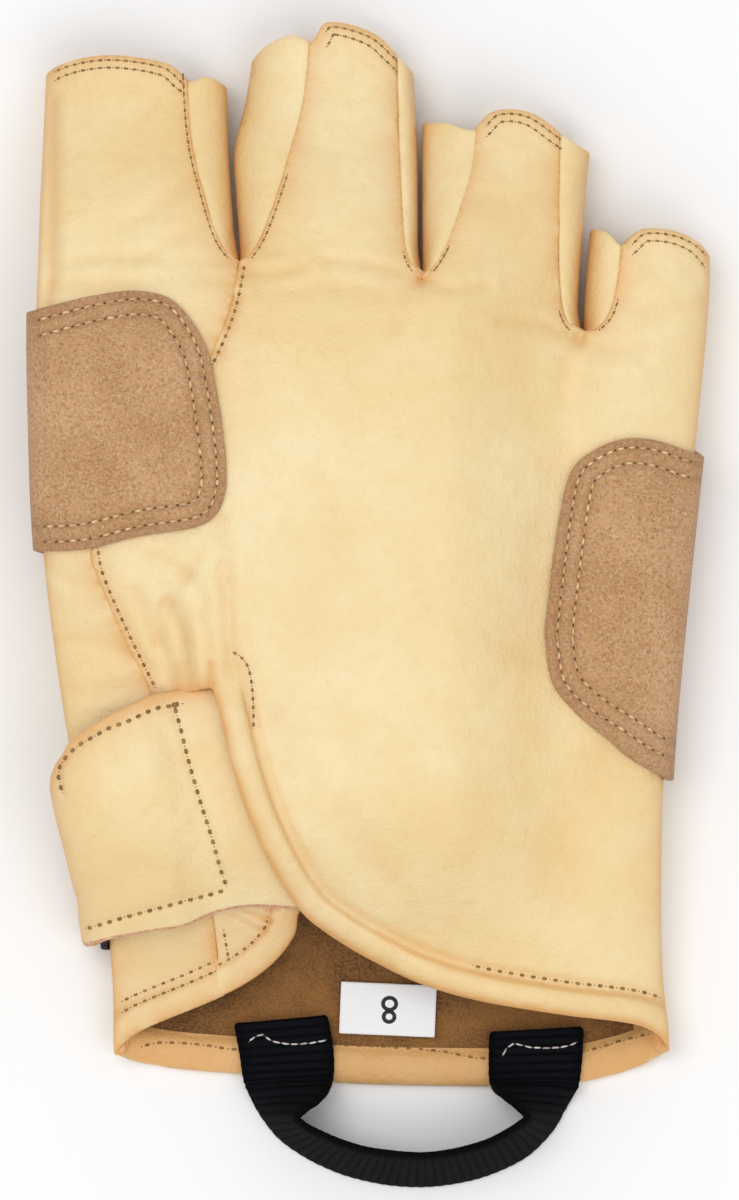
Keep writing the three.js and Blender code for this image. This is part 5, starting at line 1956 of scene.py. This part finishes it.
@dataclass(frozen=True)
class WristBand:
    """A band that lies round the index side of the wrist.

    Attributes:
        rows: Turn, low and high edge.
        reach: Distance of its underside from the sunk wrist, at a turn.
        thickness: Its thickness.
        around: Faces round the wrist.
        across: Faces across the band.
    """

    rows: Array
    reach: Callable[[Array], Array]
    thickness: float
    around: int = 150
    across: int = 46

    def sheet(self) -> Sheet:
        """The wrist's section moved out along true normals.

        Returns:
            Its outer side, facing up.
        """
        turn = np.linspace(self.rows[0, 0], self.rows[-1, 0], self.around + 1)[:, None]
        share = np.linspace(0, 1, self.across + 1)[None, :]
        low = smooth_column(self.rows[:, 0], self.rows[:, 1])(turn)
        high = smooth_column(self.rows[:, 0], self.rows[:, 2])(turn)
        y = (low + (high - low) * share) * GLOVE_LENGTH
        base = FORM.around(y, turn + 0 * y, True)
        along, round_it = np.gradient(base, axis=1), np.gradient(base, axis=0)
        out = np.cross(along, round_it)
        out /= np.linalg.norm(out, axis=-1, keepdims=True)
        distance = self.reach(turn) + self.thickness
        return grid_sheet(base + out * distance[..., None]).facing_up()


def strap_reach(turn: Array) -> Array:
    """How far the strap's underside is from the wrist: on the flap at the slit, over both tapes past it."""
    over_tapes = TAPE_SEAT + 2 * TAPE_GAP + 2 * TAPE_THICKNESS
    return BAND_GAP + (over_tapes - BAND_GAP) * smooth_step(*RISE_TURNS, turn)


@dataclass
class WristStrap(SubAssembly):
    """The leather tab and the two hook-and-loop tapes under it."""

    roundness: float = 0.95  # how far the tab's rim stands out

    def build(self) -> None:
        """Makes the tab, and the tapes under it."""
        self.tab()
        self.tape("loop_tape_pile", "loop_tape", PILE_ROWS, TAPE_SEAT)
        self.tape("hook_tape_hooks", "hook_tape", HOOK_ROWS, TAPE_SEAT + TAPE_GAP + TAPE_THICKNESS)

    def tab(self) -> None:
        """Makes the leather tab, whose lower edge is cut raw, with its box of stitches."""
        band = WristBand(STRAP_ROWS, strap_reach, STRAP_THICKNESS)
        sheet = band.sheet()
        x, y = sheet.points[:, 0], sheet.points[:, 1]
        box = [plan_points(STRAP_BOX), plan_points(STRAP_BOX_RIGHT), plan_points(STRAP_BOX_LOW)]
        gap = np.min([distance_to(line, x, y) for line in box], axis=0)
        pressed = 0.3 * hump(gap, 0.6) * (sheet.normals()[:, 2] > 0.1)
        relief = 0.5 * hide_waves(x, y, 131) + crease_relief(x, y, STRAP_CREASES) - pressed
        sheet.points = sheet.points + sheet.normals() * relief[:, None]
        solid = thickened(sheet, band.thickness, roundness=self.roundness)
        low_edge = (solid.source[solid.quads] % (band.across + 1) == 0).all(1)
        raw = (solid.part == 1) & low_edge
        which = np.where(solid.part == 2, 2, np.where(raw, 1, 0))
        materials = [self.finishes.grain, self.finishes.edge, self.finishes.flesh]
        # Painted shade and wear near the tab's edges and down its sides.
        marks = {"shade_and_wear": sheet.shade_and_wear()[solid.source]}
        piece("wrist_strap_leather", solid, materials, ["wrist_strap"], marks, which)
        rows = [StitchRow(line, sheet, Stitch.STRAP) for line in box]
        rows.append(StitchRow(plan_points(STRAP_KNOT), sheet, Stitch.STRAP_KNOT))
        self.sew("wrist_strap_thread", rows)

    def tape(self, name: str, node: str, rows: Array, seat: float) -> None:
        """Makes one tape.

        Args:
            name: Its name.
            node: The CAD node that it stands for.
            rows: Its turns with their low and high edges.
            seat: Its underside's distance from the wrist.
        """
        sheet = WristBand(rows, lambda turn: seat + 0 * turn, TAPE_THICKNESS, 80, 30).sheet()
        solid = thickened(sheet, TAPE_THICKNESS, roundness=0.2)
        piece(name, solid, [self.finishes.pile], [node])


@dataclass
class PullLoop(SubAssembly):
    """The ribbed webbing loop: flat on the palm at both ends, and on edge past the cuff."""

    steps: int = 1100
    across: int = 14
    rib: float = 1.45  # from one rib to the next
    rib_height: float = 0.24

    def grid(self) -> Array:
        """The band's middle surface between its two edges.

        Where the edges are closer in plan than the band is wide, the inner edge rises over the outer
        one by the rest of the width: (W² - w²)^½.

        Returns:
            Points, (steps, across, 3).
        """
        outer, inner = plan_points(LOOP_OUTER, self.steps), plan_points(LOOP_INNER, self.steps)
        width = np.linalg.norm(inner - outer, axis=1)
        rise = np.sqrt(np.maximum(WEBBING_WIDTH**2 - width**2, 0))
        rise = rise * smooth_step(3.0, 9.0, rise)
        standing = smooth_step(0.3, 0.9, rise / WEBBING_WIDTH)
        y = outer[:, 1]
        flat = FORM.rest_height(y) + LEATHER + (CUFF_HEM_HEIGHT + WEBBING_THICKNESS) / 2 + GAP
        floor = GAP + (WEBBING_THICKNESS / 2) * np.minimum(1, width / WEBBING_WIDTH)
        low = flat * (1 - standing) + floor * standing
        share = np.linspace(1, 0, self.across + 1)[None, :]
        plan = outer[:, None] + (inner - outer)[:, None] * share[..., None]
        return np.concatenate([plan, (low[:, None] + rise[:, None] * share)[..., None]], axis=-1)

    def build(self) -> None:
        """Makes the loop and the white threads that hold it."""
        grid = self.grid()
        sheet = grid_sheet(grid).facing_up(2000)
        middle = grid[:, self.across // 2]
        length = np.r_[0.0, np.cumsum(np.linalg.norm(np.diff(middle, axis=0), axis=1))]
        phase = np.repeat(length, self.across + 1) / self.rib * np.pi
        across = np.tile(np.linspace(-1, 1, self.across + 1), self.steps + 1)
        rib = np.abs(np.sin(phase)) ** 0.7 * (1 - 0.6 * np.abs(across) ** 8)
        half = WEBBING_THICKNESS / 2 - self.rib_height + self.rib_height * rib
        sheet.points = sheet.points + sheet.normals() * half[:, None]
        solid = thickened(sheet, WEBBING_THICKNESS - 2 * self.rib_height * (1 - rib), roundness=0.5)
        marks = {"rib": rib[solid.source]}
        piece("pull_loop_webbing", solid, [self.finishes.ribbed], ["pull_loop"], marks)
        ends = (LOOP_STITCHES_LEFT, LOOP_STITCHES_RIGHT)
        rows = [StitchRow(plan_points(line, 60), sheet, Stitch.LOOP) for line in ends]
        self.sew("pull_loop_thread", rows, "black_webbing", self.finishes.white_thread)


@dataclass
class SizeLabel(SubAssembly):
    """The white woven tag inside the cuff."""

    columns: int = 40
    rows: int = 22
    facets: int = 40  # round a bowl of the numeral
    numeral_across: float = 0.25
    stroke: float = 0.62
    ink_rise: float = 0.04
    # The numeral's two bowls: middle along, half width and half height, upside down as it is sewn
    bowls: tuple[tuple[float, float, float], ...] = ((0.98, 1.42, 1.32), (-1.22, 1.22, 1.18))

    def placed(self, u: Array, v: Array, rise: float) -> Array:
        """Places on the tag's top, turned as it is sewn, with a slight wave.

        Args:
            u: Across the tag.
            v: Along it.
            rise: How far over its top.

        Returns:
            Points.
        """
        across, along, turn = LABEL_PLACE
        angle = np.radians(turn)
        x = across * HAND_WIDTH + u * np.cos(angle) - v * np.sin(angle)
        y = along * GLOVE_LENGTH + u * np.sin(angle) + v * np.cos(angle)
        floor = FORM.rest_height(y) + FORM.lift(x, y) + LEATHER + 2 * GAP
        wave = 0.12 * np.cos(u / 2.6) * (v / LABEL_HEIGHT)
        return np.stack([x, y, floor + LABEL_THICKNESS + wave + rise], axis=-1)

    def build(self) -> None:
        """Makes the tag and its numeral."""
        u = np.linspace(-0.5, 0.5, self.columns + 1)[None, :] * LABEL_WIDTH
        v = np.linspace(-0.5, 0.5, self.rows + 1)[:, None] * LABEL_HEIGHT
        sheet = grid_sheet(self.placed(u + 0 * v, v + 0 * u, 0.0))
        solid = thickened(sheet, LABEL_THICKNESS, roundness=0.1)
        piece("size_label_tag", solid, [self.finishes.ribbon], ["size_label"])
        rings = []
        turn = np.linspace(0, 2 * np.pi, self.facets + 1)[None, :]
        reach = np.array([[1.0], [0.5], [0.0]]) * self.stroke
        for middle, wide, tall in self.bowls:
            u = self.numeral_across + (wide - reach) * np.cos(turn)
            v = middle + (tall - reach) * np.sin(turn)
            rings.append(joined([grid_sheet(self.placed(u, v, self.ink_rise))]))
        ink = thickened(joined(rings, by_plan=False).facing_up(), self.ink_rise, roundness=0.02, steps=2)
        piece("size_label_numeral", ink, [self.finishes.ink])


def linear(code: str) -> tuple[float, float, float, float]:
    """An sRGB hex colour as linear RGBA.

    Args:
        code: The colour, as "#rrggbb".

    Returns:
        Red, green, blue and 1.
    """
    parts = [int(code[k : k + 2], 16) / 255 for k in (1, 3, 5)]
    turned = [c / 12.92 if c <= 0.04045 else ((c + 0.055) / 1.055) ** 2.4 for c in parts]
    return (*turned, 1.0)


class Look:
    """A material being made: its nodes, its shader and the object's coordinates in metres."""

    def __init__(self, name: str, roughness: float) -> None:
        """Makes the material.

        Args:
            name: Its name.
            roughness: Of its shader.
        """
        self.material = material_of(name)
        self.tree = self.material.node_tree
        self.shader = self.tree.nodes["Principled BSDF"]
        self.shader.inputs["Roughness"].default_value = roughness
        self.place = self.add("ShaderNodeTexCoord").outputs["Object"]

    def add(
        self,
        kind: str,
        settings: Optional[dict[str, object]] = None,
        values: Optional[dict[object, object]] = None,
        links: Optional[dict[object, Socket]] = None,
    ) -> bpy.types.Node:
        """Adds a node.

        Args:
            kind: The node's type.
            settings: Its settings.
            values: Values of its inputs.
            links: Outputs that its inputs are linked to.

        Returns:
            The node.
        """
        node = self.tree.nodes.new(kind)
        for key, value in (settings or {}).items():
            setattr(node, key, value)
        for key, value in (values or {}).items():
            node.inputs[key].default_value = value
        for key, source in (links or {}).items():
            self.tree.links.new(source, node.inputs[key])
        return node

    def spread(
        self, source: Socket, low: float, high: float, start: float = 0.0, end: float = 1.0
    ) -> Socket:
        """A value stretched from low..high to start..end, and held there."""
        values = {"From Min": low, "From Max": high, "To Min": start, "To Max": end}
        return self.add("ShaderNodeMapRange", {}, values, {"Value": source}).outputs["Result"]

    def noise(self, size: float, detail: float = 2.0, low: float = 0.36, high: float = 0.64) -> Socket:
        """Noise whose patches are about this many millimetres across.

        Args:
            size: Of a patch.
            detail: How many finer layers it has.
            low: The value that becomes 0.
            high: The value that becomes 1.

        Returns:
            The noise, from 0 to 1.
        """
        values = {"Scale": 1.0 / (size * MM), "Detail": detail, "Roughness": 0.55}
        node = self.add("ShaderNodeTexNoise", {}, values, {"Vector": self.place})
        return self.spread(node.outputs["Fac"], low, high)

    def cells(self, size: float) -> Socket:
        """Distances in a pattern of cells about this many millimetres across."""
        values = {"Scale": 1.0 / (size * MM), "Randomness": 1.0}
        return self.add("ShaderNodeTexVoronoi", {}, values, {"Vector": self.place}).outputs["Distance"]

    def attribute(self, name: str) -> Socket:
        """A value that the mesh carries."""
        return self.add("ShaderNodeAttribute", {"attribute_name": name}).outputs["Fac"]

    def times(self, source: Socket, factor: float) -> Socket:
        """A value times a factor."""
        return self.add("ShaderNodeMath", {"operation": "MULTIPLY"}, {1: factor}, {0: source}).outputs[0]

    def total(self, first: Socket, second: Socket) -> Socket:
        """The sum of two values."""
        return self.add("ShaderNodeMath", {"operation": "ADD"}, {}, {0: first, 1: second}).outputs[0]

    def tint(
        self, share: Socket, low: "str | Socket", high: str
    ) -> Socket:
        """A mix of two colours.

        Args:
            share: How much of the second.
            low: The first, as a hex colour or an output.
            high: The second.

        Returns:
            The mixed colour.
        """
        node = self.add("ShaderNodeMix", {"data_type": "RGBA"}, {7: linear(high)}, {0: share})
        if isinstance(low, str):
            node.inputs[6].default_value = linear(low)
        else:
            self.tree.links.new(low, node.inputs[6])
        return node.outputs[2]

    def colour(self, source: Socket) -> None:
        """Links the shader's base colour."""
        self.tree.links.new(source, self.shader.inputs["Base Color"])

    def roughness(self, source: Socket) -> None:
        """Links the shader's roughness."""
        self.tree.links.new(source, self.shader.inputs["Roughness"])

    def relief(self, *layers: tuple[Socket, float]) -> None:
        """Bumps, one over the other.

        Args:
            layers: Heights from 0 to 1, each with its depth in millimetres.
        """
        before = None
        for height, depth in layers:
            links = {"Height": height}
            if before is not None:
                links["Normal"] = before
            node = self.add("ShaderNodeBump", {}, {"Strength": 1.0, "Distance": depth * MM}, links)
            before = node.outputs["Normal"]
        self.tree.links.new(before, self.shader.inputs["Normal"])


@dataclass(frozen=True)
class GrainLeather:
    """Undyed full-grain hide with a thin wax finish.

    It gives the eye a pale cream with warmer clouds, orange on its turned-in faces, a soft satin light and
    a grain too fine to count.
    Near its edges it turns orange, partly with wear and partly as painted shade; down the sides, in
    creases, beside the turned edges and under the strap the orange is painted shade.
    """

    cream: str = "#f4e0b0"
    cloud: str = "#efd298"
    # The orange of worn edges, and of painted shade down the sides, in creases and under the strap.
    shaded_worn: str = "#e0a45e"
    freckle: str = "#d8a868"

    def make(self) -> Material:
        """Makes it.

        Returns:
            The material.
        """
        look = Look("grain_leather", 0.5)
        clouds = look.tint(look.noise(30.0, 3.0), self.cream, self.cloud)
        mottled = look.tint(look.times(look.noise(5.0, 4.0, 0.42, 0.72), 0.35), clouds, self.cloud)
        freckled = look.tint(look.times(look.noise(2.2, 3.0, 0.5, 0.8), 0.14), mottled, self.freckle)
        shade_and_wear = look.total(look.attribute("shade_and_wear"), look.times(look.noise(4.0, 3.0), 0.1))
        # Orange where the shade_and_wear mark is high: painted shade and, near the edges, wear.
        look.colour(look.tint(look.spread(shade_and_wear, 0.1, 1.15, 0.0, 0.85), freckled, self.shaded_worn))
        look.roughness(look.spread(look.noise(9.0, 3.0), 0.0, 1.0, 0.44, 0.56))
        look.relief((look.noise(2.6, 3.0), 0.09), (look.cells(0.62), 0.06), (look.noise(0.3, 1.0), 0.015))
        return look.material


@dataclass(frozen=True)
class FleshSide:
    """The inner, flesh side of the hide.

    It gives the eye a matt brown felt with loose fibres and darker clouds from wear.
    """

    mid: str = "#8f5f2d"
    dark: str = "#5e3a18"
    fibre: str = "#ab7b45"

    def make(self) -> Material:
        """Makes it.

        Returns:
            The material.
        """
        look = Look("flesh_side", 0.95)
        clouds = look.tint(look.noise(9.0, 4.0), self.mid, self.dark)
        look.colour(look.tint(look.times(look.noise(0.45, 2.0), 0.5), clouds, self.fibre))
        look.shader.inputs["Sheen Weight"].default_value = 0.15
        look.relief((look.noise(1.8, 3.0), 0.12), (look.noise(0.35, 2.0), 0.06))
        return look.material


@dataclass(frozen=True)
class Suede:
    """Split leather, buffed to a nap.

    It gives the eye a flecked light brown: each tuft of nap lies its own way and is lighter or darker than
    the next.
    Along the rows of stitches it is darker, partly pressed nap and partly painted shade in the groove, and
    towards its edges and down its sides it darkens with painted shade and wear.
    """

    mid: str = "#d2a172"
    shade: str = "#bd8a58"
    light: str = "#efcfa6"
    dark: str = "#8f5f36"
    # Along the rows of stitches: partly pressed nap, partly painted shade in the groove.
    pressed: str = "#9a6b40"

    def make(self) -> Material:
        """Makes it.

        Returns:
            The material.
        """
        look = Look("suede_nap", 0.95)
        clouds = look.tint(look.times(look.noise(9.0, 4.0, 0.35, 0.65), 0.85), self.mid, self.shade)
        tufts = look.noise(0.42, 2.0, 0.44, 0.66)
        dark = look.tint(look.times(look.noise(0.6, 2.0, 0.46, 0.68), 0.6), clouds, self.dark)
        flecked = look.tint(look.times(tufts, 0.45), dark, self.light)
        # Painted shade and wear towards the edges and down the sides.
        edge = look.tint(look.times(look.attribute("shade_and_wear"), 0.3), flecked, self.dark)
        look.colour(look.tint(look.times(look.attribute("groove"), 0.38), edge, self.pressed))
        look.shader.inputs["Sheen Weight"].default_value = 0.1
        look.shader.inputs["Sheen Roughness"].default_value = 0.6
        look.relief((look.noise(2.0, 3.0), 0.1), (tufts, 0.12))
        return look.material


@dataclass(frozen=True)
class CutEdge:
    """The raw edge of the strap, where the hide's layers are cut through.

    It gives the eye a rough pinkish line of bare fibres.
    """

    pink: str = "#f0c3a0"
    deep: str = "#cf9466"

    def make(self) -> Material:
        """Makes it.

        Returns:
            The material.
        """
        look = Look("cut_edge", 0.9)
        look.colour(look.tint(look.noise(0.7, 3.0), self.pink, self.deep))
        look.relief((look.noise(0.4, 2.0), 0.1))
        return look.material


@dataclass(frozen=True)
class Thread:
    """Bonded sewing thread.

    It gives the eye short, evenly lit strokes with a slight gloss, some darker with wear.
    """

    name: str
    pale: str
    dark: str

    def make(self) -> Material:
        """Makes it.

        Returns:
            The material.
        """
        look = Look(self.name, 0.55)
        look.colour(look.tint(look.noise(2.4, 2.0), self.pale, self.dark))
        return look.material


@dataclass(frozen=True)
class Webbing:
    """Black ribbed polyester webbing.

    It gives the eye a near-black band of fine yarns; the ribs' valleys are painted darker as shade and
    their crowns blue-grey as light.
    """

    # Painted shade in the ribs' valleys and painted light on their crowns.
    valley: str = "#020203"
    lit_crown: str = "#101116"
    yarn: str = "#15171c"

    def make(self) -> Material:
        """Makes it.

        Returns:
            The material.
        """
        look = Look("black_webbing", 0.9)
        yarns = look.noise(0.4, 2.0)
        # The rib mark paints the valleys dark as shade and the crowns lighter as light.
        ribs = look.tint(look.spread(look.attribute("rib"), 0.2, 1.0), self.valley, self.lit_crown)
        look.colour(look.tint(look.times(yarns, 0.25), ribs, self.yarn))
        look.shader.inputs["Specular IOR Level"].default_value = 0.08
        look.relief((yarns, 0.05))
        return look.material


@dataclass(frozen=True)
class HookAndLoop:
    """Black hook-and-loop tape.

    It gives the eye a dull black pile with single bright ends.
    """

    pile: str = "#0e0e10"
    ends: str = "#34343a"

    def make(self) -> Material:
        """Makes it.

        Returns:
            The material.
        """
        look = Look("black_tape", 0.9)
        tufts = look.noise(0.5, 2.0, 0.45, 0.75)
        look.colour(look.tint(tufts, self.pile, self.ends))
        look.relief((tufts, 0.2))
        return look.material


@dataclass(frozen=True)
class WovenTag:
    """White satin ribbon.

    It gives the eye a clean white with a faint crosswise weave of 0.3 mm.
    """

    white: str = "#ffffff"
    shade: str = "#ececeb"

    def make(self) -> Material:
        """Makes it.

        Returns:
            The material.
        """
        look = Look("white_tag", 0.45)
        values = {"Scale": 1.0 / (0.3 * MM) / 20.0 * 2 * np.pi, "Distortion": 0.4}
        weave = look.add("ShaderNodeTexWave", {"bands_direction": "Y"}, values, {"Vector": look.place})
        look.colour(look.tint(look.times(weave.outputs["Fac"], 0.4), self.white, self.shade))
        look.relief((weave.outputs["Fac"], 0.02))
        return look.material


@dataclass(frozen=True)
class TagInk:
    """Black thread of the tag's numeral.

    It gives the eye a flat, slightly soft black.
    """

    def make(self) -> Material:
        """Makes it.

        Returns:
            The material.
        """
        look = Look("tag_ink", 0.7)
        look.colour(look.tint(look.noise(0.5, 2.0), "#141414", "#2c2c2c"))
        return look.material


class Finishes:
    """The glove's materials, each made once."""

    def __init__(self) -> None:
        """Makes them."""
        self.grain = GrainLeather().make()
        self.flesh = FleshSide().make()
        self.nap = Suede().make()
        self.edge = CutEdge().make()
        self.thread = Thread("brown_thread", "#a27e48", "#7c5b2f").make()
        self.suede_thread = Thread("tan_thread", "#edcf9f", "#c79a63").make()
        # Painted shade in the needle's holes.
        self.hole_shade = Thread("needle_hole_shade", "#6a4b28", "#472f18").make()
        self.white_thread = Thread("white_thread", "#e4dfe0", "#b3a7ab").make()
        self.ribbed = Webbing().make()
        self.pile = HookAndLoop().make()
        self.ribbon = WovenTag().make()
        self.ink = TagInk().make()


@dataclass
class Studio:
    """Pale floor, soft lights and the camera straight above, in metres."""

    distance: float = 2.4  # from the camera to the plane that it is framed on
    plane: float = 0.015  # that plane's height
    frame_height: float = 0.2016  # of the picture on it
    centre: tuple[float, float] = (0.00012, 0.0013)
    sensor: float = 36.0  # in millimetres
    floor: float = 3.0  # half its width
    sky: float = 0.62  # the light from all round
    # Name, place, size and power of each soft light, and the point that they shine on
    lamps: tuple = (("key", (-0.35, 0.2, 1.4), 0.8, 6.5), ("fill", (0.5, -0.5, 1.3), 1.0, 4.0))
    aim: tuple[float, float, float] = (0, 0, 0.02)

    def build(self) -> None:
        """Makes the floor, the lights and the camera."""
        far = self.floor
        mesh = bpy.data.meshes.new("floor")
        corners = [(-far, -far, 0), (far, -far, 0), (far, far, 0), (-far, far, 0)]
        mesh.from_pydata(corners, [], [(0, 1, 2, 3)])
        floor = link("floor", mesh)
        paper = material_of("white_paper")
        shader = paper.node_tree.nodes["Principled BSDF"]
        shader.inputs["Base Color"].default_value = linear("#fbfbfb")
        shader.inputs["Roughness"].default_value = 0.9
        mesh.materials.append(paper)
        world = bpy.data.worlds.new("studio")
        world.use_nodes = True
        world.node_tree.nodes["Background"].inputs["Color"].default_value = (1, 1, 1, 1)
        world.node_tree.nodes["Background"].inputs["Strength"].default_value = self.sky
        bpy.context.scene.world = world
        for name, place, size, power in self.lamps:
            light = bpy.data.lights.new(name, "AREA")
            light.size = size
            light.energy = power
            lamp = link(name, light)
            lamp.location = place
            lamp.rotation_euler = (Vector(self.aim) - Vector(place)).to_track_quat("-Z", "Y").to_euler()
        lens = bpy.data.cameras.new("camera")
        lens.sensor_fit = "VERTICAL"
        lens.sensor_height = self.sensor
        lens.lens = self.sensor * self.distance / self.frame_height
        lens.clip_end = 20.0
        camera = link("camera", lens)
        camera.location = (*self.centre, self.plane + self.distance)
        bpy.context.scene.camera = camera
        bpy.context.scene.view_settings.view_transform = "Standard"


def main() -> None:
    """Builds the pieces in order."""
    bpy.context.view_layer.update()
    Studio().build()
    finishes = Finishes()
    for kind in (BackPanel, IndexPanel, CuffTongue, PalmPanel):
        kind(finishes).build()
    for gusset in GUSSET_SEAMS:
        Gusset(finishes, gusset).build()
    for kind in (ThumbStall, SuedeGuard, WristStrap, PullLoop, SizeLabel):
        kind(finishes).build()


if __name__ == "__main__":
    main()
